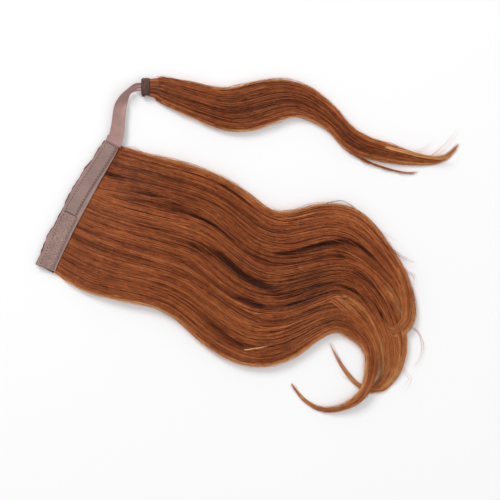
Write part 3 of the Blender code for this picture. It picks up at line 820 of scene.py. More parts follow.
def add_body(shape, layers, side, start):
    """One closed tube for the mass of a lock, with its run kept for the streaks."""
    made = bmesh.ops.create_grid(shape, x_segments=BODY_RINGS - 1, y_segments=BODY_SIDES, size=0.5)
    verts = made["verts"]
    grid = np.array([vert.co[:2] for vert in verts]) + 0.5
    end = side.lock.reach * side.flow.last * BODY_REACH
    table = side.flow.shares(np.array([start]), np.array([end]), BODY_RINGS)[0]
    share = table[np.rint(grid[:, 0] * (BODY_RINGS - 1)).astype(int)]
    angle = grid[:, 1] * 2 * np.pi - np.pi / 2
    across = np.cos(angle)
    level = np.where(np.sin(angle) > 0.001, 1.0, 0.04)
    x, y, z = lock_point(side, share, across, level, BODY_FILL)
    x, y, z, dark = open_partings(x, y, z)
    # Painted shade and sheen for the mass: the partings' painted shade and the broad patches.
    shade = dark - painted_sheen_and_shade(x, y)
    flat = side.lock.width * side.flow.at("width", share) * across
    run_layer, shade_layer = layers
    for vert, place, run, aside, dim in zip(verts, np.stack([x, y, z], 1), share, flat, shade):
        vert.co = place
        vert[run_layer] = Vector((run * side.flow.length, aside, side.lock.across * 0.1))
        vert[shade_layer] = dim
    bmesh.ops.remove_doubles(shape, verts=verts, dist=1e-7)
    rims = [edge for edge in shape.edges if edge.is_boundary]
    bmesh.ops.holes_fill(shape, edges=rims, sides=0)


def body_mesh(name, sides, start):
    shape = bmesh.new()
    shape.verts.layers.float_vector.new("hair_run")
    shape.verts.layers.float.new("shade")
    layers = shape.verts.layers.float_vector["hair_run"], shape.verts.layers.float["shade"]
    for side in sides:
        add_body(shape, layers, side, start)
    return mesh_of(name, shape, math.radians(70))


# %% Finish of the mass
def hair_mass_finish():
    """Dark streaks along the hair, from a stored run along and across each lock; the colours are
    painted shade, and the stored shade adds more painted shade and sheen.
    """
    made = Finish("hair_mass")
    along, aside, lock = made.split(made.attribute("hair_run", "Vector"))
    streaks = made.noise(made.join(along * 14.0, aside * 1400.0, lock * 90.0), 1.0, 4.0, 0.7)
    broad = made.noise(made.join(along * 9.0, aside * 260.0, lock * 40.0), 1.0, 2.0)
    colour = made.node(
        "ShaderNodeValToRGB",
        {"stops": (
            (0.10, linear(42, 17, 10)),
            (0.30, linear(76, 34, 18)),
            (0.50, linear(112, 54, 28)),
            (0.75, linear(150, 76, 38)),
        )},
        {"Fac": (streaks * 0.65 + broad * 0.35 - made.attribute("shade") * 1.3).clamp()},
    )
    height = made.bump(streaks, 0.0006, 0.9)
    return made.put(Base_Color=colour, Roughness=0.6, Specular_IOR_Level=0.25, Normal=height)


hair_mass = hair_mass_finish()
fall_sides = upper_sides + middle_sides + lower_sides
fall_lead = -ROOT_DEPTH / FALL_LENGTH
piece(
    "fall_mass", body_mesh("fall_mass", fall_sides, fall_lead), hair_mass, "hair", "hair_fall"
)
piece(
    "wrap_mass", body_mesh("wrap_mass", wrap_sides, -NECK_LEAD / WRAP_LENGTH), hair_mass,
    "hair", "wrap_lock",
)

# %% [markdown]
# ## The strands
# Each strand is a curve with a thickness and a tone at every point. Blender's hair
# curves hold thousands of them in one object, and Geometry Nodes sweeps a three-sided
# ring along all of them at once. Three sides are enough for something thinner than a
# millimetre. A strand belongs to a wisp: wisps wander, tighten towards the tips and
# pass a little over and under each other, and that is what makes combed hair look real.

# %% Sweeping tubes along strands
STRAND_RADIUS = 0.00033


def sweep_nodes(source):
    """Nodes that turn every strand of an object into a thin closed tube."""
    group = bpy.data.node_groups.new("strand_tubes", "GeometryNodeTree")
    group.interface.new_socket("Geometry", in_out="OUTPUT", socket_type="NodeSocketGeometry")
    out = group.nodes.new("NodeGroupOutput")
    info = group.nodes.new("GeometryNodeObjectInfo")
    info.inputs["Object"].default_value = source
    straight = group.nodes.new("GeometryNodeCurveSplineType")
    straight.spline_type = "POLY"
    ring = group.nodes.new("GeometryNodeCurvePrimitiveCircle")
    ring.inputs["Resolution"].default_value = 3
    ring.inputs["Radius"].default_value = STRAND_RADIUS
    thick = group.nodes.new("GeometryNodeInputNamedAttribute")
    thick.data_type = "FLOAT"
    thick.inputs["Name"].default_value = "thickness"
    tube = group.nodes.new("GeometryNodeCurveToMesh")
    tube.inputs["Fill Caps"].default_value = True
    group.links.new(info.outputs["Geometry"], straight.inputs["Curve"])
    group.links.new(straight.outputs["Curve"], tube.inputs["Curve"])
    group.links.new(ring.outputs["Curve"], tube.inputs["Profile Curve"])
    group.links.new(thick.outputs["Attribute"], tube.inputs["Scale"])
    group.links.new(tube.outputs["Mesh"], out.inputs["Geometry"])
    return group


Batch = namedtuple("Batch", "place thickness tone")


def strand_mesh(name, batches):
    """One mesh of tubes for several batches of strands."""
    counts = []
    for batch in batches:
        counts += [batch.tone.shape[1]] * batch.tone.shape[0]
    curves = bpy.data.hair_curves.new(name)
    curves.add_curves(counts)
    places = np.concatenate([batch.place.reshape(-1) for batch in batches])
    curves.position_data.foreach_set("vector", places.astype(np.float32))
    for column in ("thickness", "tone"):
        values = np.concatenate([getattr(batch, column).reshape(-1) for batch in batches])
        stored = curves.attributes.new(column, "FLOAT", "POINT")
        stored.data.foreach_set("value", values.astype(np.float32))
    source = bpy.data.objects.new(name + "_lines", curves)
    carrier = bpy.data.objects.new(name + "_carrier", bpy.data.meshes.new(name))
    for scratch in (source, carrier):
        bpy.context.scene.collection.objects.link(scratch)
    sweep = carrier.modifiers.new("tubes", "NODES")
    sweep.node_group = sweep_nodes(source)
    mesh = evaluated_mesh(carrier)
    for scratch in (source, carrier):
        bpy.data.objects.remove(scratch)
    bpy.data.hair_curves.remove(curves)
    mesh.name = name
    mesh.shade_smooth()
    mesh.calc_loop_triangles()
    print(f"{name}: {len(counts)} strands, {len(mesh.loop_triangles)} triangles")
    return mesh


# %% Growing the strands of a lock
chance = np.random.default_rng(417)
TONE_BASE = 0.45
STRAND_POINTS = 24
DRIFT_POINTS = 97
EARLY_TIPS = 0.64
SURFACE_STRANDS = 0.76
ROGUE_STRANDS = 0.16
LOWEST_STRAND = 0.0004
LOWEST_FRINGE = 0.0005
EDGE_LIGHT_WIDTH = 0.0045
WRAP_TONE = -0.145


def wave(count, share, low, high):
    """A smooth random waver for each strand or wisp, between -1 and 1."""
    turns = chance.uniform(low, high, (count, 1))
    phase = chance.uniform(0.0, 2 * np.pi, (count, 2))
    first = np.sin(2 * np.pi * turns * share + phase[:, :1])
    second = np.sin(2 * np.pi * 2.3 * turns * share + phase[:, 1:])
    return (first + 0.5 * second) / 1.5


def held_by(across, middles):
    """Which middle each strand belongs to."""
    return np.abs(across[:, None] - middles[None, :]).argmin(axis=1)


def along_table(table, own, run):
    """Values of each strand's own row, read at its runs."""
    steps = run * (table.shape[1] - 1)
    low = np.floor(steps).astype(int)
    high = np.minimum(low + 1, table.shape[1] - 1)
    rest = steps - low
    return table[own[:, None], low] * (1 - rest) + table[own[:, None], high] * rest


def grow(side, count, start, wisps, tufts, points=STRAND_POINTS):
    """A batch of strands that fills one lock."""
    flow, lock = side.flow, side.lock
    limit = lock.reach * flow.last
    cut = np.where(chance.random(count) < EARLY_TIPS, 0.07, 0.36) * chance.random(count)
    share = flow.shares(np.full(count, start), limit * (1.0 - cut), points)
    run = np.clip(share / limit, 0.0, 1.0)
    across = chance.uniform(-1.0, 1.0, count)
    ends = np.cumsum(chance.uniform(0.4, 1.7, wisps))
    wisp_middles = (ends - 0.5 * np.diff(ends, prepend=0.0)) / ends[-1] * 2 - 1
    tuft_middles = np.sort(chance.uniform(-1.0, 1.0, tufts))
    wisp = held_by(across, wisp_middles)
    tuft = held_by(across, tuft_middles)
    even = np.linspace(0.0, 1.0, DRIFT_POINTS)[None, :]
    wisp_drift = along_table(wave(wisps, even, 0.8, 2.2), wisp, run)
    wisp_lift = along_table(wave(wisps, even, 1.0, 2.4), wisp, run)
    tuft_drift = along_table(wave(tufts, even, 1.5, 4.5), tuft, run)
    tuft_lift = along_table(wave(tufts, even, 2.0, 6.0), tuft, run)
    loose = np.interp(run, (0.0, 0.06, 0.4, 1.0), (0.0, 0.35, 1.0, 0.7))
    tight = np.interp(run, (0.0, 0.05, 0.5, 1.0), (0.05, 0.26, 0.42, 0.70))
    placed = across[:, None] + (tuft_middles[tuft] - across)[:, None] * tight
    clump = np.interp(run, (0.0, 0.3, 0.6, 0.85, 1.0), (0.0, 0.10, 0.24, 0.42, 0.72))
    placed = placed + (wisp_middles[wisp][:, None] - placed) * clump
    placed = placed + loose * (0.09 * wisp_drift + 0.07 * tuft_drift)
    placed = np.clip(placed, -1.03, 1.03)
    skin = chance.random(count) < SURFACE_STRANDS
    depth = np.where(skin, chance.uniform(0.0, 0.09, count), chance.uniform(0.1, 0.92, count))
    x, y, z = lock_point(side, share, placed, 1.0 - depth[:, None])
    rogue = chance.random(count) < ROGUE_STRANDS
    sway = np.where(rogue, chance.uniform(0.5, 1.8, count), chance.uniform(0.06, 0.42, count))
    fan = chance.normal(0.0, 1.0, count)[:, None] * np.interp(run, (0.84, 1.0), (0.0, 1.0))
    waver = (wave(count, run, 3.0, 9.0) * sway[:, None] + fan) * MM * np.clip(run * 9, 0.0, 1.0)
    angle = flow.at("across", share)
    x = x - np.sin(angle) * waver
    y = y + np.cos(angle) * waver
    x, y, z, dark = open_partings(x, y, z)
    raised = 0.40 * wisp_lift + 0.28 * tuft_lift
    z = z + raised * MM * loose * np.clip(z / (3 * MM), 0.0, 1.0)
    dips = wave(count, run, 5.0, 12.0)
    z = z + (np.where(rogue, 0.35, 0.0)[:, None] + 0.22 * dips) * MM * np.clip(run * 6, 0.0, 1.0)
    z = np.maximum(z, LOWEST_STRAND)
    tone = TONE_BASE + chance.normal(0.0, 0.030, wisps)[wisp]
    tone = tone + chance.normal(0.0, 0.045, tufts)[tuft]
    tone = tone + np.clip(chance.normal(0.0, 0.085, count) + 0.04 * rogue, -0.20, 0.20)
    # Painted shade and sheen: strands deeper in the lock and strands by a parting are painted darker,
    # and the broad patches paint sheen and shade.
    tone = tone[:, None] - 0.24 * depth[:, None] - dark + painted_sheen_and_shade(x, y)
    # Painted light and shade: raised wisps and tufts and the high points of each strand's dips are
    # painted lighter, the low points darker.
    tone = tone + 0.05 * raised * loose + 0.07 * dips + WRAP_TONE * side.is_wrap
    # Painted light: the outer edges are painted lighter, for light passing through the thin hair
    # there.
    rim = EDGE_LIGHT_WIDTH / np.maximum(flow.at("width", share), 0.004)
    edge = np.clip(1 - (1 - np.abs(lock.across + lock.width * placed)) / rim, 0.0, 1.0)
    tone = tone + 0.30 * edge * (side.outer != 0)
    tone = tone + np.interp(run, (0.0, 0.7, 0.86, 1.0), (0.0, 0.0, 0.14, 0.32))
    thickness = chance.uniform(0.75, 1.15, count)[:, None]
    thickness = thickness * np.interp(run, (0.0, 0.7, 1.0), (1.0, 0.85, 0.3))
    last_points = np.linspace(0, 1, points)[None, :]
    thickness = thickness * np.interp(last_points, (0.0, 0.85, 1.0), (1.0, 1.0, 0.35))
    return Batch(np.stack([x, y, z], axis=2), thickness, np.clip(tone, 0.02, 0.98))


# %% Finish of the strands
def strand_finish():
    """Auburn from a stored tone, with a fine change of colour along each strand."""
    made = Finish("hair_strands")
    place = made.node("ShaderNodeTexCoord", out="Object")
    patch = made.noise(place, 30.0, 2.0)
    fine = made.noise(place, 150.0, 2.0)
    tone = made.attribute("tone") + (patch - 0.5) * 0.22 + (fine - 0.5) * 0.22
    colour = made.node(
        "ShaderNodeValToRGB",
        {"stops": (
            (0.00, linear(46, 18, 13)),
            (0.22, linear(92, 42, 24)),
            (0.45, linear(149, 77, 42)),
            (0.68, linear(194, 115, 66)),
            (1.00, linear(240, 184, 124)),
        )},
        {"Fac": tone.clamp()},
    )
    made.put(Base_Color=colour, Roughness=0.42, Specular_IOR_Level=0.35)
    return made.put(Specular_Tint=(*linear(255, 214, 176), 1.0))


hair_strands = strand_finish()

# %% Strands of the fall and of the wrap
LOCK_STRANDS = 345
LOCK_WISPS = 7
LOCK_TUFTS = 22
WRAP_STRANDS = 235
WRAP_WISPS = 5
WRAP_TUFTS = 12
WRAP_POINTS = 22
STRAY_STRANDS = 30
STRAY_WISPS = 2
STRAY_TUFTS = 4
STRAY_POINTS = 16
for stream, sides in (("upper", upper_sides), ("middle", middle_sides), ("lower", lower_sides)):
    batches = [grow(side, LOCK_STRANDS, fall_lead, LOCK_WISPS, LOCK_TUFTS) for side in sides]
    piece(f"{stream}_strands", strand_mesh(f"{stream}_strands", batches), hair_strands,
          "hair", "hair_fall")
wrap_lead = -NECK_LEAD / WRAP_LENGTH
wrap_batches = [
    grow(side, WRAP_STRANDS, wrap_lead, WRAP_WISPS, WRAP_TUFTS, WRAP_POINTS)
    for side in wrap_sides
]
wrap_batches.append(
    grow(stray_side, STRAY_STRANDS, 0.0, STRAY_WISPS, STRAY_TUFTS, STRAY_POINTS)
)
piece("wrap_strands", strand_mesh("wrap_strands", wrap_batches), hair_strands, "hair", "wrap_lock")

# %% [markdown]
# ## Fringe and fly-aways
# The outline of real hair isn't a clean line. Fine hairs bow out of it and back in, most
# at the bends, and they look golden because light passes through them. A few longer ones
# fly off on their own. The fringe is random along each outer edge. The longer ones are
# drawn from the picture, each as a few points on the floor plan, in millimetres.

# %% Fringe along the edges
FRINGE_POINTS = 10


def fringe(side, edge_sign, count, furthest, first=0.0, last=0.97):
    """Fine hairs that leave the outer edge of a lock and mostly come back."""
    flow, lock = side.flow, side.lock
    limit = lock.reach * flow.last
    begin = chance.uniform(first, last, count)
    span = np.minimum(chance.uniform(0.05, 0.24, count), 1.0 - begin)
    steps = np.linspace(0.0, 1.0, FRINGE_POINTS)[None, :]
    share = limit * (begin[:, None] + span[:, None] * steps)
    returns = (chance.random(count) < 0.6)[:, None]
    bow = np.where(returns, np.sin(np.pi * steps), steps**1.6)
    out = furthest * chance.random(count)[:, None] ** 1.9 * bow * MM
    left_run = (limit - share) / (LOCK_TIP_SHARE * flow.last)
    taper = np.sin(np.pi / 2 * np.clip(left_run, 0.0, 1.0))
    half = np.maximum(lock.width * flow.at("width", share) * taper, TIP_SIZE)
    rim = flow.at("width", share) * abs(lock.across) + half
    inset = chance.uniform(-0.1, 1.8, count)[:, None] * MM
    x, y = flow.beside(share, edge_sign * (rim - inset + out + 0.2 * MM * wave(count, steps, 1, 3)))
    level = chance.uniform(0.15, 0.85, count)[:, None] * lock_height(side, share) * taper
    z = np.maximum(level + flow.at("lift", share), LOWEST_FRINGE)
    tone = np.broadcast_to(chance.uniform(0.58, 0.98, count)[:, None], z.shape)
    thin = chance.uniform(0.32, 0.72, count)[:, None]
    thickness = thin * np.interp(steps, (0.0, 0.5, 1.0), (1.0, 1.0, 0.4))
    return Batch(np.stack([x, y, z], axis=2), thickness, tone)


fringe_batches = [
    fringe(upper_sides[-1], 1, 330, 3.6),
    fringe(lower_sides[0], -1, 300, 3.2),
    fringe(lower_sides[1], -1, 40, 3.5, 0.70),
    fringe(middle_sides[-1], 1, 50, 3.0, 0.78),
    fringe(middle_sides[0], -1, 40, 3.0, 0.78),
    fringe(wrap_sides[0], -1, 210, 2.8, 0.03),
    fringe(wrap_sides[3], 1, 210, 2.8, 0.03),
]

# %% Hairs that fly off on their own
Loose = namedtuple("Loose", "count spread_start spread_end low high tone points")
BUNCHES = (
    Loose(9, 0.5, 0.3, 10.2, 11.0, 1.00, ((222, -53.4), (227.8, -49.8), (236, -43.8), (244.5, -37),
                                          (252.2, -29.8), (257, -25))),
    Loose(16, 1.4, 2.2, 5.0, 7.0, 0.86, ((244, 204.6), (260, 206.4), (277, 210.9), (293.4, 215),
                                         (309.4, 220.8), (321.1, 227), (326.2, 237.9))),
    Loose(50, 7.0, 1.6, 7.5, 9.5, 0.66, ((314, 108), (329, 99), (341, 88), (350, 77), (356, 66),
                                         (360, 56), (359, 48), (356, 42.5), (351, 40), (344, 42),
                                         (337, 47.5))),
    Loose(34, 3.2, 1.5, 1.0, 2.6, 0.76, ((378, -8), (375, -18), (367, -24.2), (356.6, -27.9),
                                         (345.3, -26.8), (332.8, -21.9), (321.8, -16.1),
                                         (311.7, -9), (301.7, -1.9))),
    Loose(46, 5.5, 2.4, 8.6, 9.8, 0.62, ((262, 30), (279.4, 40), (292.2, 39.4), (310.6, 35),
                                         (326.3, 29), (340.6, 20.6), (352.2, 7.1), (359.6, -8.5),
                                         (358, -20))),
)
FLY_AWAYS = (
    Loose(5, 1.5, 3.0, 1.0, 2.5, 0.45, ((362, -22), (353, -26.3), (343.1, -26.2), (334, -25.7),
                                        (325.5, -23.1), (315, -14))),
    Loose(4, 1.0, 2.5, 1.0, 7.0, 0.32, ((225.4, 119), (236.6, 129), (245.4, 134.3), (258.2, 133.6),
                                        (273.1, 129.1), (291.5, 124.6), (311.2, 124.4), (320, 125))),
    Loose(7, 2.2, 3.0, 1.0, 7.0, 0.40, ((288, 117), (300.8, 115), (317.1, 112.3), (329.8, 111.5),
                                        (341.9, 112.6), (348, 117.5))),
    Loose(3, 1.0, 2.0, 1.0, 4.0, 0.50, ((330, 103), (341.4, 101.2), (347, 100.6), (352.8, 93),
                                        (355.9, 84))),
    Loose(3, 0.8, 3.0, 0.6, 3.0, 0.62, ((360, 58), (365.5, 52.5), (379.3, 50.1), (390.1, 39.8),
                                        (393.3, 23.7), (387.9, 13.7))),
    Loose(2, 1.0, 2.4, 0.6, 2.0, 0.66, ((380, 12), (388.1, 6.6), (394, 4), (394.9, -6.5),
                                        (390.1, -14.4))),
    Loose(6, 2.4, 5.0, 0.6, 2.5, 0.66, ((285, 205), (299.7, 213), (309, 228), (314.5, 246),
                                        (315.5, 262))),
    Loose(4, 2.0, 5.0, 0.6, 2.5, 0.66, ((250, 205), (268, 204), (283, 210), (296, 222), (303, 236))),
)


def curve_through(points, count):
    """Places on a smooth curve through a few points."""
    line = np.array(points, float)
    held = np.vstack([2 * line[0] - line[1], line, 2 * line[-1] - line[-2]])
    steps = np.linspace(0.0, len(line) - 1.0, count)
    index = np.minimum(steps.astype(int), len(line) - 2)
    part = (steps - index)[:, None]
    before, here, ahead, after = (held[index + shift] for shift in range(4))
    rise = (ahead - before) * part
    bend = (2 * before - 5 * here + 4 * ahead - after) * part**2
    twist = (3 * here - 3 * ahead + after - before) * part**3
    return here + 0.5 * (rise + bend + twist)


def loose_hairs(row, is_bunch):
    """Hairs along a curve, spread to both sides of it. A bunch rises out of the mass."""
    end = chance.uniform(0.72 if is_bunch else 0.5, 1.0, (row.count, 1))
    run = np.linspace(0.0, 1.0, STRAND_POINTS)[None, :] * end
    line = curve_through(row.points, DRIFT_POINTS) * MM
    step = np.gradient(line, axis=0)
    normal = np.stack([-step[:, 1], step[:, 0]], axis=1)
    normal = normal / np.linalg.norm(normal, axis=1)[:, None]
    even = np.linspace(0.0, 1.0, DRIFT_POINTS)
    spread = np.interp(run, (0.0, 1.0), (row.spread_start, row.spread_end)) * MM
    aside = chance.uniform(-1.0, 1.0, (row.count, 1)) * spread
    aside = aside + wave(row.count, run, 0.6, 1.8) * (0.4 if is_bunch else 1.2) * run * MM
    x = np.interp(run, even, line[:, 0]) + np.interp(run, even, normal[:, 0]) * aside
    y = np.interp(run, even, line[:, 1]) + np.interp(run, even, normal[:, 1]) * aside
    height = chance.uniform(row.low, row.high, (row.count, 1)) * MM
    rise = np.interp(run, (0.0, 0.22), (0.55, 1.0)) if is_bunch else 1.0
    z = height * rise + wave(row.count, run, 0.5, 1.5) * 0.3 * MM
    tone = row.tone + chance.normal(0.0, 0.09, (row.count, 1)) + 0 * x
    widest = (0.6, 1.05) if is_bunch else (0.34, 0.62)
    root = 0.15 if is_bunch else 1.0
    thin = np.interp(run / end, (0, 0.15, 0.6, 1), (root, 1, 0.85, 0.3))
    thin = thin * chance.uniform(*widest, (row.count, 1))
    z = np.maximum(z, LOWEST_FRINGE)
    return Batch(np.stack([x, y, z], axis=2), thin, np.clip(tone, 0.02, 0.98))


fringe_batches += [loose_hairs(row, True) for row in BUNCHES]
fringe_batches += [loose_hairs(row, False) for row in FLY_AWAYS]
piece("fly_aways", strand_mesh("fly_aways", fringe_batches), hair_strands, "hair")

# %% [markdown]
# ## The band
# The band is a strip of satin cloth with a turned edge. It is laid as a grid between the
# two edge lines of the table, with a slight ripple where the wefts pull at its left edge,
# and then given its thickness. A map in metres goes along with it for the weave.

# %% Levels and the band's outline
BAND_THICKNESS = 0.0012
TAPE_THICKNESS = 0.0012
TAPE_WIDTH = 0.0135
HOOK_TAPE_WIDTH = 0.0154
HOOK_TAPE_SHIFT = 0.0010
TAPE_END_MARGIN = 0.0015
HOOK_TAPE_LENGTH = 0.063
BAND_END_SLANT = 0.0032
STRAP_LAP = 0.006
BAND_BOTTOM = WEFT_HEIGHT + GAP
BAND_TOP = BAND_BOTTOM + BAND_THICKNESS
TAPE_BOTTOM = BAND_TOP + GAP
TAPE_TOP = TAPE_BOTTOM + TAPE_THICKNESS
left_edge = smooth(BAND_EDGES, "left")
right_edge = smooth(BAND_EDGES, "right")


def slanted(side, along):
    """Lifts the lower right corner of the band, as the cloth is cut there."""
    low_end = np.clip(1 - (along + BAND_LENGTH / 2) / 0.012, 0.0, 1.0)
    return along + BAND_END_SLANT * (side + 0.5) * low_end


def edge_ripple(along):
    return 0.00022 * np.sin(along / 0.0052) + 0.00016 * np.sin(along / 0.0023 + 1.0)


def laid_grid(shape, columns, rows, place):
    """A grid whose points go where place(side, share) says, with a map in metres."""
    made = bmesh.ops.create_grid(shape, x_segments=columns, y_segments=rows, size=0.5)
    uv = shape.loops.layers.uv.verify()
    for vert in made["verts"]:
        side, share = vert.co.x, vert.co.y + 0.5
        vert.co = Vector(place(side, share)[:3])
        for loop in vert.link_loops:
            loop[uv].uv = place(side, share)[3:]
    return made["verts"]


def thickened(name, shape, thickness, rounding):
    """A cloth sheet with its thickness below it and its edges rounded over."""
    made = bpy.data.objects.new(name, mesh_of(name, shape))
    bpy.context.scene.collection.objects.link(made)
    wall = made.modifiers.new("thickness", "SOLIDIFY")
    wall.thickness = thickness
    wall.offset = -1.0
    wall.use_even_offset = True
    rounded = made.modifiers.new("rounded edges", "BEVEL")
    rounded.width = rounding
    rounded.segments = 3
    rounded.limit_method = "ANGLE"
    rounded.angle_limit = math.radians(50)
    mesh = evaluated_mesh(made)
    bpy.data.objects.remove(made)
    mesh.name = name
    mesh.shade_smooth()
    return mesh


# %% Finishes of the cloths
def woven_finish(name, light, dark, thread, roughness, shine, shade_colour=(90, 78, 74), shade_from=1.0):
    """Satin: fine ribs across, a finer warp along, and a stretch near a knot painted darker and
    greyer as shade.
    """
    made = Finish(name)
    across, along, _ = made.split(made.node("ShaderNodeUVMap", {"uv_map": "UVMap"}))
    place = made.node("ShaderNodeTexCoord", out="Object")
    ribs = (along * (2 * math.pi / thread)).sine()
    warp = ((across + along * 0.35) * (2 * math.pi / (thread * 0.7))).sine()
    weave = ribs * 0.5 + warp * 0.35
    # Painted shade: past a given length along, the colour darkens and greys towards the ramp's first
    # stop.
    knot_shade = ((along - shade_from) * 70.0).clamp()
    patches = made.noise(place, 90.0, 3.0)
    fleck = made.noise(place, 2400.0, 2.0)
    colour = made.node(
        "ShaderNodeValToRGB",
        {"stops": ((0.0, linear(*shade_colour)), (0.3, linear(*dark)), (0.8, linear(*light)))},
        {"Fac": (patches * 0.55 + fleck * 0.30 + weave * 0.12 + 0.08 - knot_shade * 0.55).clamp()},
    )
    height = made.bump(weave + fleck * 0.8, thread * 0.22, 0.6)
    gloss = (patches - 0.5) * 0.2 + roughness
    made.put(Base_Color=colour, Roughness=gloss, Normal=height)
    return made.put(Sheen_Weight=shine, Sheen_Roughness=0.4)


band_cloth = woven_finish("band_cloth", (168, 140, 132), (132, 104, 98), 0.0007, 0.62, 0.15)
# The strap is painted darker and greyer from 58 mm along, as shade where it rolls on its side into
# the binding.
strap_cloth = woven_finish(
    "strap_cloth", (178, 141, 133), (148, 113, 107), 0.0006, 0.50, 0.22, (96, 84, 80), 0.058
)

# %% The band cloth
BAND_CLOTH_THICKNESS = 0.0009


def band_place(side, share):
    along = -BAND_LENGTH / 2 + share * (BAND_LENGTH + STRAP_LAP)
    place = along / BAND_LENGTH + 0.5
    left = float(left_edge(place)) * BAND_WIDTH + edge_ripple(along)
    right = float(right_edge(place)) * BAND_WIDTH + 0.4 * edge_ripple(along * 0.7 + 0.1)
    x = left + (right - left) * (side + 0.5)
    buckle = math.sin(along / 0.0061) * math.exp(-((side + 0.5) / 0.16) ** 2)
    z = BAND_TOP - 0.0001 + 0.00022 * buckle
    return x, float(slanted(side, along)), z, x, along


band_shape = bmesh.new()
laid_grid(band_shape, 16, 160, band_place)
band = piece(
    "band_cloth", thickened("band_cloth", band_shape, BAND_CLOTH_THICKNESS, 0.00022),
    band_cloth, "band_cloth", "base_band",
)
band_area = sum((r.right - r.left) for r in BAND_EDGES) / len(BAND_EDGES) * BAND_WIDTH * 0.156

# %% [markdown]
# ## The touch tape
# The upper part of the band carries a soft loop tape and the lower part a hook tape.
# The loops are a dense low pile, so the panel is a padded strip with a fine uneven
# surface. The hooks are real ones: one small hook is turned from a four-sided ring,
# repeated in rows, and the rows are bent along the band.

# %% Tape panels
SPLIT = -BAND_LENGTH / 2 + TAPE_END_MARGIN + HOOK_TAPE_LENGTH


def tape_place_of(start, end, crown, top, width=TAPE_WIDTH, shift=0.0):
    """A panel from start to end along the band, crowned a little across."""

    def place(side, share):
        along = start + share * (end - start)
        middle = float(tape_middle(along / BAND_LENGTH + 0.5)) * BAND_WIDTH + shift
        x = middle + side * width
        rim = min(1.0, (0.5 - abs(side)) * 5, share * 22, (1 - share) * 22)
        z = top - crown * (1 - rim) ** 2
        return x, float(slanted(side, along)), z, x - middle, along

    return place


def pile_finish():
    """The loop tape: a low pile, matt, with tiny loops that catch the light."""
    made = Finish("loop_pile")
    place = made.node("ShaderNodeTexCoord", out="Object")
    loops = made.node("ShaderNodeTexVoronoi", {}, {"Vector": place, "Scale": 1500.0})
    patches = made.noise(place, 70.0, 3.0)
    fine = made.noise(place, 900.0, 3.0, 0.6)
    colour = made.node(
        "ShaderNodeValToRGB",
        {"stops": ((0.25, linear(124, 99, 93)), (0.75, linear(158, 130, 122)))},
        {"Fac": (patches * 0.5 + fine * 0.5).clamp()},
    )
    height = made.bump(fine * 0.7 - loops * 0.8, 0.0005, 0.7)
    made.put(Base_Color=colour, Roughness=0.72, Normal=height)
    return made.put(Sheen_Weight=0.22, Sheen_Roughness=0.35)


loop_shape = bmesh.new()
laid_grid(loop_shape, 20, 90, tape_place_of(SPLIT + GAP / 2, BAND_LENGTH / 2 - GAP, 0.0005, TAPE_TOP))
piece(
    "loop_panel", thickened("loop_panel", loop_shape, TAPE_THICKNESS * 0.9, 0.0003),
    pile_finish(), "loop_tape", "smooth_panel",
)
hook_base_shape = bmesh.new()
HOOK_BASE_TOP = TAPE_TOP - 0.0005
laid_grid(
    hook_base_shape, 16, 70,
    tape_place_of(-BAND_LENGTH / 2 + TAPE_END_MARGIN, SPLIT - GAP / 2, 0.0003, HOOK_BASE_TOP,
                  HOOK_TAPE_WIDTH, HOOK_TAPE_SHIFT),
)
piece(
    "hook_panel_base", thickened("hook_panel_base", hook_base_shape, 0.0006, 0.0002),
    woven_finish("hook_base", (172, 143, 134), (134, 106, 99), 0.0008, 0.66, 0.1),
    "hook_tape", "hook_panel",
)

# %% Hooks
HOOK_PITCH = 0.00115
HOOK_RADIUS = 0.00015
HOOK_BEND = 0.00030
HOOK_STEM = 0.00045


def one_hook():
    """A stem with a bent top: a small ring pulled up and then spun over."""
    shape = bmesh.new()
    ring = bmesh.ops.create_circle(shape, cap_ends=True, segments=4, radius=HOOK_RADIUS)
    up = bmesh.ops.extrude_face_region(shape, geom=list(shape.faces))
    raised = [part for part in up["geom"] if isinstance(part, bmesh.types.BMVert)]
    bmesh.ops.translate(shape, vec=Vector((0.0, 0.0, HOOK_STEM)), verts=raised)
    top = [part for part in up["geom"] if isinstance(part, bmesh.types.BMFace)]
    bmesh.ops.spin(
        shape, geom=top, cent=(0.0, HOOK_BEND, HOOK_STEM), axis=(-1.0, 0.0, 0.0),
        steps=4, angle=math.radians(200), use_merge=False, use_duplicate=False,
    )
    print(f"one hook: {len(shape.faces)} faces, from a ring of {len(ring['verts'])} points")
    return mesh_of("hook", shape, math.radians(80))


hook_rows = int((HOOK_TAPE_LENGTH - 0.0016) / HOOK_PITCH)
hook_columns = int((HOOK_TAPE_WIDTH - 0.0016) / HOOK_PITCH)
hook_object = bpy.data.objects.new("hook", one_hook())
bpy.context.scene.collection.objects.link(hook_object)
for name, amount, step in (
    ("columns", hook_columns, (HOOK_PITCH, 0.0, 0.0)),
    ("rows", hook_rows, (0.0, HOOK_PITCH, 0.0)),
):
    repeat = hook_object.modifiers.new(name, "ARRAY")
    repeat.count = amount
    repeat.use_relative_offset = False
    repeat.use_constant_offset = True
    repeat.constant_offset_displace = step
hook_mesh = evaluated_mesh(hook_object)
each = len(hook_object.data.vertices)
bpy.data.objects.remove(hook_object)
spots = np.empty(len(hook_mesh.vertices) * 3, np.float32)
hook_mesh.vertices.foreach_get("co", spots)
spots = spots.reshape(-1, each, 3)
index = np.arange(len(spots))
column, row = index % hook_columns, index // hook_columns
hook_chance = np.random.default_rng(77)
lean = hook_chance.normal(0.0, 0.22, (len(spots), 1))
flip = np.where(hook_chance.random((len(spots), 1)) < 0.5, 1.0, -1.0)
local = spots - np.stack([column * HOOK_PITCH, row * HOOK_PITCH, 0 * row], 1)[:, None, :]
local[:, :, 1] = local[:, :, 1] * flip + local[:, :, 2] * lean
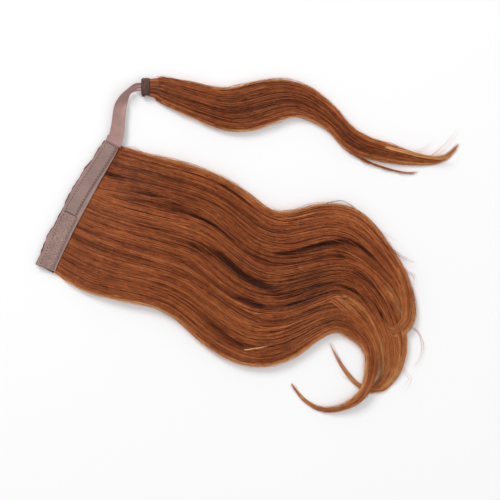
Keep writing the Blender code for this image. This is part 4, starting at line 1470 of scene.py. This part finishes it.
local[:, :, 0] += local[:, :, 2] * hook_chance.normal(0.0, 0.25, (len(spots), 1))
side = (column - (hook_columns - 1) / 2) * HOOK_PITCH + (row % 2 - 0.5) * HOOK_PITCH * 0.5
along = -BAND_LENGTH / 2 + TAPE_END_MARGIN + 0.0012 + row * HOOK_PITCH
across_share = side / HOOK_TAPE_WIDTH
base_x = tape_middle(along / BAND_LENGTH + 0.5) * BAND_WIDTH + HOOK_TAPE_SHIFT + side
base_y = slanted(across_share, along)
placed = local + np.stack([base_x, base_y, np.full(len(row), HOOK_BASE_TOP - 0.0001)], 1)[:, None, :]
hook_mesh.vertices.foreach_set("co", placed.astype(np.float32).reshape(-1))
bmesh_hooks = bmesh.new()
bmesh_hooks.from_mesh(hook_mesh)
hook_mesh = mesh_of("hooks", bmesh_hooks, math.radians(80))


def hook_finish():
    made = Finish("hook_nylon")
    place = made.node("ShaderNodeTexCoord", out="Object")
    # Speckle on the hooks: their own uneven colour, with painted glints in the lightest specks.
    grain_and_glint = made.noise(place, 620.0, 2.0)
    colour = made.node(
        "ShaderNodeValToRGB",
        {"stops": ((0.36, linear(138, 108, 101)), (0.64, linear(232, 206, 195)))},
        {"Fac": grain_and_glint},
    )
    return made.put(Base_Color=colour, Roughness=0.35)


piece("hooks", hook_mesh, hook_finish(), "hook_tape", "hook_panel")

# %% [markdown]
# ## Stitches
# A seam in maroon thread runs along both edges of the tapes and across them at the strap
# and at the join. A stitch is a short rounded rod that dips into the cloth at both ends.
# The seam lines follow the tape, so they are read from the same table.

# %% Seams
STITCH_LENGTH = 0.0021
STITCH_GAP = 0.0013
STITCH_RADIUS = 0.00034
STITCH_INSET = 0.0011
SEAM_START_MARGIN = 0.003
SEAM_END_MARGIN = 0.0015


def add_stitch(shape, middle, heading, length, radius):
    """One stitch: a stretched ball lying along its heading."""
    turn = Matrix.Rotation(heading, 4, "Z")
    size = Matrix.Diagonal((length / 2, radius, radius * 0.8, 1.0))
    bmesh.ops.create_uvsphere(
        shape, u_segments=8, v_segments=6, radius=1.0,
        matrix=Matrix.Translation(middle) @ turn @ size @ Matrix.Rotation(math.pi / 2, 4, "Y"),
    )


def seam_points(side, start, end):
    """Places down one edge of the tapes, a stitch apart."""
    count = int((end - start) / (STITCH_LENGTH + STITCH_GAP))
    for number in range(count):
        along = start + (number + 0.5) * (end - start) / count
        middle = float(tape_middle(along / BAND_LENGTH + 0.5)) * BAND_WIDTH
        ahead = float(tape_middle((along + 0.001) / BAND_LENGTH + 0.5)) * BAND_WIDTH
        reach = TAPE_WIDTH / 2 - STITCH_INSET
        wider = side > 0 and along < SPLIT
        extra = (HOOK_TAPE_WIDTH - TAPE_WIDTH) / 2 + HOOK_TAPE_SHIFT if wider else 0.0
        yield middle + side * reach + extra, along, math.atan2(0.001, ahead - middle)


stitch_chance = np.random.default_rng(5)
stitch_shape = bmesh.new()
stitch_count = 0
for side in (-1.0, 1.0):
    start, end = -BAND_LENGTH / 2 + SEAM_START_MARGIN, BAND_LENGTH / 2 - SEAM_END_MARGIN
    for x, along, heading in seam_points(side, start, end):
        wobble = float(stitch_chance.normal(0.0, 0.05))
        spot = Vector((x + wobble * 0.002, float(slanted(side / 2, along)), TAPE_TOP - 0.00012))
        add_stitch(stitch_shape, spot, heading + wobble, STITCH_LENGTH, STITCH_RADIUS)
        stitch_count += 1
CROSS_STITCHES = 5
for along in (SPLIT, BAND_LENGTH / 2 - 0.0016):
    middle = float(tape_middle(along / BAND_LENGTH + 0.5)) * BAND_WIDTH
    for number in range(CROSS_STITCHES):
        x = middle + ((number + 0.5) / CROSS_STITCHES - 0.5) * (TAPE_WIDTH - 0.001)
        wobble = float(stitch_chance.normal(0.0, 0.06))
        spot = Vector((x, along + wobble * 0.002, TAPE_TOP - 0.00010))
        add_stitch(stitch_shape, spot, wobble, STITCH_LENGTH, STITCH_RADIUS * 1.1)
        stitch_count += 1


def thread_finish(name, dark, light, roughness):
    """Twisted thread: fine diagonal ridges and a change of colour along it."""
    made = Finish(name)
    place = made.node("ShaderNodeTexCoord", out="Object")
    x, y, z = made.split(place)
    twist = ((x + y * 0.8 + z * 1.3) * 9000.0).sine()
    patches = made.noise(place, 420.0, 3.0)
    colour = made.node(
        "ShaderNodeValToRGB",
        {"stops": ((0.3, linear(*dark)), (0.7, linear(*light)))},
        {"Fac": (patches + twist * 0.12).clamp()},
    )
    height = made.bump(twist + patches, 0.00012, 0.6)
    return made.put(Base_Color=colour, Roughness=roughness, Normal=height)


seam_thread = thread_finish("seam_thread", (66, 32, 38), (98, 56, 60), 0.6)
piece("seams", mesh_of("seams", stitch_shape), seam_thread, "binding_thread")
print(f"{stitch_count} stitches")

# %% [markdown]
# ## The weft tracks
# Under the band the hair hangs from machine-sewn wefts. From the side their stacked
# tracks show as thin cords with close stitches, and in the picture they make the dark,
# slightly uneven line down the band's left edge. Each track is a tube that follows the
# edge, wound with small stitches. The flat pad of hair behind them fills the band.

# %% Weft tracks
TRACK_RADIUS = 0.00062
TRACK_LEVELS = (0.0009, 0.0021, 0.0033)
TRACK_STITCH_PITCH = 0.0016
TRACK_POINTS = 120


def curve_mesh(name, points, radius, sides=3, cyclic=False):
    """A closed tube along points, as a mesh."""
    data = bpy.data.curves.new(name, "CURVE")
    data.dimensions = "3D"
    data.bevel_depth = radius
    data.bevel_resolution = sides
    data.use_fill_caps = not cyclic
    line = data.splines.new("POLY")
    line.points.add(len(points) - 1)
    for spot, point in zip(line.points, points):
        spot.co = (*point, 1.0)
    line.use_cyclic_u = cyclic
    made = bpy.data.objects.new(name, data)
    bpy.context.scene.collection.objects.link(made)
    mesh = evaluated_mesh(made)
    bpy.data.objects.remove(made)
    bpy.data.curves.remove(data)
    mesh.shade_smooth()
    return mesh


def joined(name, meshes, sharp=math.radians(80)):
    """Several meshes in one."""
    shape = bmesh.new()
    for mesh in meshes:
        shape.from_mesh(mesh)
        bpy.data.meshes.remove(mesh)
    bmesh.ops.remove_doubles(shape, verts=shape.verts, dist=1e-7)
    return mesh_of(name, shape, sharp)


track_meshes = []
track_stitches = bmesh.new()
for number, level in enumerate(TRACK_LEVELS):
    points = []
    for along in np.linspace(-BAND_LENGTH / 2 + 0.001, BAND_LENGTH / 2 - 0.001, TRACK_POINTS):
        bulge = 0.00025 * math.sin(along / 0.0031 + number * 2) + 0.0002 * math.sin(along / 0.0013)
        x = float(left_edge(along / BAND_LENGTH + 0.5)) * BAND_WIDTH + 0.0002 + bulge
        points.append((x - 0.0003 * number, along, level))
    track_meshes.append(curve_mesh(f"track_{number}", points, TRACK_RADIUS))
    for spot in range(int(BAND_LENGTH / TRACK_STITCH_PITCH) - 2):
        along = -BAND_LENGTH / 2 + (spot + 1.5) * TRACK_STITCH_PITCH
        nearest = min(int((along / BAND_LENGTH + 0.5) * (TRACK_POINTS - 1)), TRACK_POINTS - 1)
        x, y, z = points[nearest]
        middle = Vector((x - TRACK_RADIUS * 0.8, along, z))
        lean = math.radians(90 + 18 * (1 if spot % 2 else -1))
        turn = Matrix.Rotation(lean, 4, "X")
        bmesh.ops.create_uvsphere(
            track_stitches, u_segments=6, v_segments=5, radius=1.0,
            matrix=Matrix.Translation(middle) @ turn
            @ Matrix.Diagonal((0.00022, 0.0007, 0.00022, 1.0)),
        )
# The tracks and the pad below wear the mass's finish, which is painted dark as shade.
piece("weft_tracks", joined("weft_tracks", track_meshes), hair_mass, "hair", "hair_fall")
piece("weft_stitches", mesh_of("weft_stitches", track_stitches), seam_thread, "binding_thread")

# %% The pad of hair under the band
HEAD_INSET = 0.0010


def head_place(side, share):
    along = -BAND_LENGTH / 2 + HEAD_INSET + share * (BAND_LENGTH - 2 * HEAD_INSET)
    place = along / BAND_LENGTH + 0.5
    left = float(left_edge(place)) * BAND_WIDTH + HEAD_INSET
    right = float(right_edge(place)) * BAND_WIDTH - HEAD_INSET
    x = left + (right - left) * (side + 0.5)
    return x, along, WEFT_HEIGHT - 0.0002, x, along


head_shape = bmesh.new()
laid_grid(head_shape, 8, 80, head_place)
head_mesh = thickened("weft_pad", head_shape, WEFT_HEIGHT - 0.0006, 0.0006)
head_points = np.empty(len(head_mesh.vertices) * 3, np.float32)
head_mesh.vertices.foreach_get("co", head_points)
head_run = head_mesh.attributes.new("hair_run", "FLOAT_VECTOR", "POINT")
head_run.data.foreach_set("vector", head_points)
piece("weft_pad", head_mesh, hair_mass, "hair", "hair_fall")

# %% [markdown]
# ## The strap
# The strap is one satin ribbon. It leaves the band flat, narrows, rolls on its side and
# is gathered into the binding, which presses lengthwise creases into it. The ribbon is a
# grid along the strap's line. Its roll comes from the table, and the creases grow
# towards the knot.

# %% The strap
STRAP_THICKNESS = 0.0007
STRAP_RISE_SHARE = 0.155
strap_width_at = smooth(STRAP_TURNS, "width")
strap_roll_at = smooth(STRAP_TURNS, "roll")
STRAP_LOW = TAPE_BOTTOM + STRAP_THICKNESS
STRAP_HIGH = BINDING_MIDDLE + STRAP_RISE_SHARE * BINDING_HEIGHT
STRAP_OVER = BINDING_LENGTH * 0.4


def strap_point(side, share):
    """A point of the ribbon, from its seam under the tape to inside the binding."""
    whole = STRAP_LENGTH + STRAP_OVER
    run = share * whole / STRAP_LENGTH
    held = min(run, 1.0)
    x = float(np.interp(held, strap_share, strap_place[:, 0]))
    y = float(np.interp(held, strap_share, strap_place[:, 1]))
    heading = float(np.interp(held, strap_share, strap_heading))
    if run > 1.0:
        x += knot_ahead[0] * (run - 1.0) * STRAP_LENGTH
        y += knot_ahead[1] * (run - 1.0) * STRAP_LENGTH
    width = float(strap_width_at(held)) * STRAP_WIDTH * (1 + 0.14 * max(0.0, 1 - run / 0.09))
    roll = math.radians(float(strap_roll_at(held)))
    offset = -side * width
    tight = max(0.0, (run - 0.45) / 0.55)
    crease = 0.00055 * tight * math.cos(side * 15.0 + 0.6)
    soft = 0.0006 * math.sin(math.pi * min(run, 1.0)) * math.cos(side * 5.0 + run * 4.0)
    curl = 0.0011 * math.sin(math.pi * min(run * 1.1, 1.0)) * (2 * side) ** 4
    normal = crease + soft + curl
    level = STRAP_LOW + (STRAP_HIGH - STRAP_LOW) * held
    flat = offset * math.cos(roll) - normal * math.sin(roll)
    up = offset * math.sin(roll) + normal * math.cos(roll)
    z = max(level + up, FLOOR_CLEARANCE + STRAP_THICKNESS)
    return x - math.sin(heading) * flat, y + math.cos(heading) * flat, z, side * width, share * whole


strap_shape = bmesh.new()
laid_grid(strap_shape, 24, 110, strap_point)
strap = piece(
    "strap_ribbon", thickened("strap_ribbon", strap_shape, STRAP_THICKNESS, 0.00018),
    strap_cloth, "strap_cloth", "strap",
)

# %% [markdown]
# ## The binding
# Strap and lock are bound together with dark thread: about a dozen turns side by side
# over an inner layer, a few that cross them, a knot at the side and two cut ends. Each
# layer is one curve wound on an oval, with each turn a little out of line.

# %% The binding
THREAD_RADIUS = 0.00040
BINDING_TURNS = 13
INNER_TURNS = 9
CROSSING_TURNS = 3
KNOT_POINTS = 90
BARREL = 0.0006
TURN_POINTS = 30
knot_side = np.array([-knot_ahead[1], knot_ahead[0]])
binding_chance = np.random.default_rng(23)


def round_the_binding(turns, start, end, grow_by, swing, seed_phase):
    """Points of a thread wound on the oval, from start to end along the binding."""
    points = []
    steps = int(turns * TURN_POINTS)
    tilt = binding_chance.uniform(-swing, swing, turns + 2)
    puff = binding_chance.uniform(0.0, 0.00035, turns + 2)
    for step in range(steps + 1):
        turned = step / TURN_POINTS
        angle = 2 * math.pi * turned + seed_phase
        slot = turned - int(turned)
        low, high = int(turned), int(turned) + 1
        lean = tilt[low] * (1 - slot) + tilt[high] * slot
        out = puff[low] * (1 - slot) + puff[high] * slot + grow_by
        along = start + (end - start) * step / steps + lean * math.sin(angle)
        out = out + BARREL * (0.4 - (2 * along / BINDING_LENGTH) ** 2)
        across = math.cos(angle) * (BINDING_WIDTH / 2 - THREAD_RADIUS - 0.0002 + out)
        up = math.sin(angle) * (BINDING_HEIGHT / 2 - THREAD_RADIUS + out * 0.6)
        flat = knot_place + knot_ahead * along + knot_side * across
        level = max(BINDING_MIDDLE + up, THREAD_RADIUS + 0.0001)
        points.append((flat[0], flat[1], level))
    return points


half = BINDING_LENGTH / 2 - THREAD_RADIUS
thread_meshes = [
    curve_mesh("turns", round_the_binding(BINDING_TURNS, -half, half, 0.0, 0.00035, 0.4),
               THREAD_RADIUS, 2),
    curve_mesh("inner_turns", round_the_binding(INNER_TURNS, half, -half, -0.0006, 0.0004, 1.9),
               THREAD_RADIUS, 2),
    curve_mesh("crossing", round_the_binding(
        CROSSING_TURNS, -half * 0.9, half * 0.9, 0.0005, 0.0009, 2.6),
               THREAD_RADIUS, 2),
]


def at_binding(along, across, up):
    flat = knot_place + knot_ahead * along + knot_side * across
    return (flat[0], flat[1], BINDING_MIDDLE + up)


knot_points = []
for step in range(KNOT_POINTS):
    angle = 2 * math.pi * step / KNOT_POINTS
    ring = 0.0011 + 0.0005 * math.cos(3 * angle)
    knot_points.append(at_binding(
        -0.0026 + ring * math.cos(2 * angle), -0.0084 + ring * math.sin(2 * angle),
        -0.0004 + 0.0007 * math.sin(3 * angle),
    ))
thread_meshes.append(curve_mesh("knot", knot_points, THREAD_RADIUS, 2, cyclic=True))
THREAD_ENDS = (
    ((-0.0026, -0.0088, 0.0), (-0.0034, -0.0100, -0.0008), (-0.0042, -0.0104, -0.0026)),
    ((-0.0024, -0.0090, 0.0003), (-0.0018, -0.0102, -0.0004), (-0.0008, -0.0106, -0.0024)),
)
for number, route in enumerate(THREAD_ENDS):
    thread_meshes.append(curve_mesh(
        f"end_{number}", [at_binding(*point) for point in route], THREAD_RADIUS * 0.8, 2
    ))
binding_thread = thread_finish("binding_thread", (62, 38, 32), (118, 84, 74), 0.8)
piece("binding_thread", joined("binding_thread", thread_meshes), binding_thread,
      "binding_thread", "binding")

# %% Sizes before and after
boxes = {"cad": cad_box, "visual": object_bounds()}
{name: [list(corner) for corner in box] for name, box in boxes.items()}
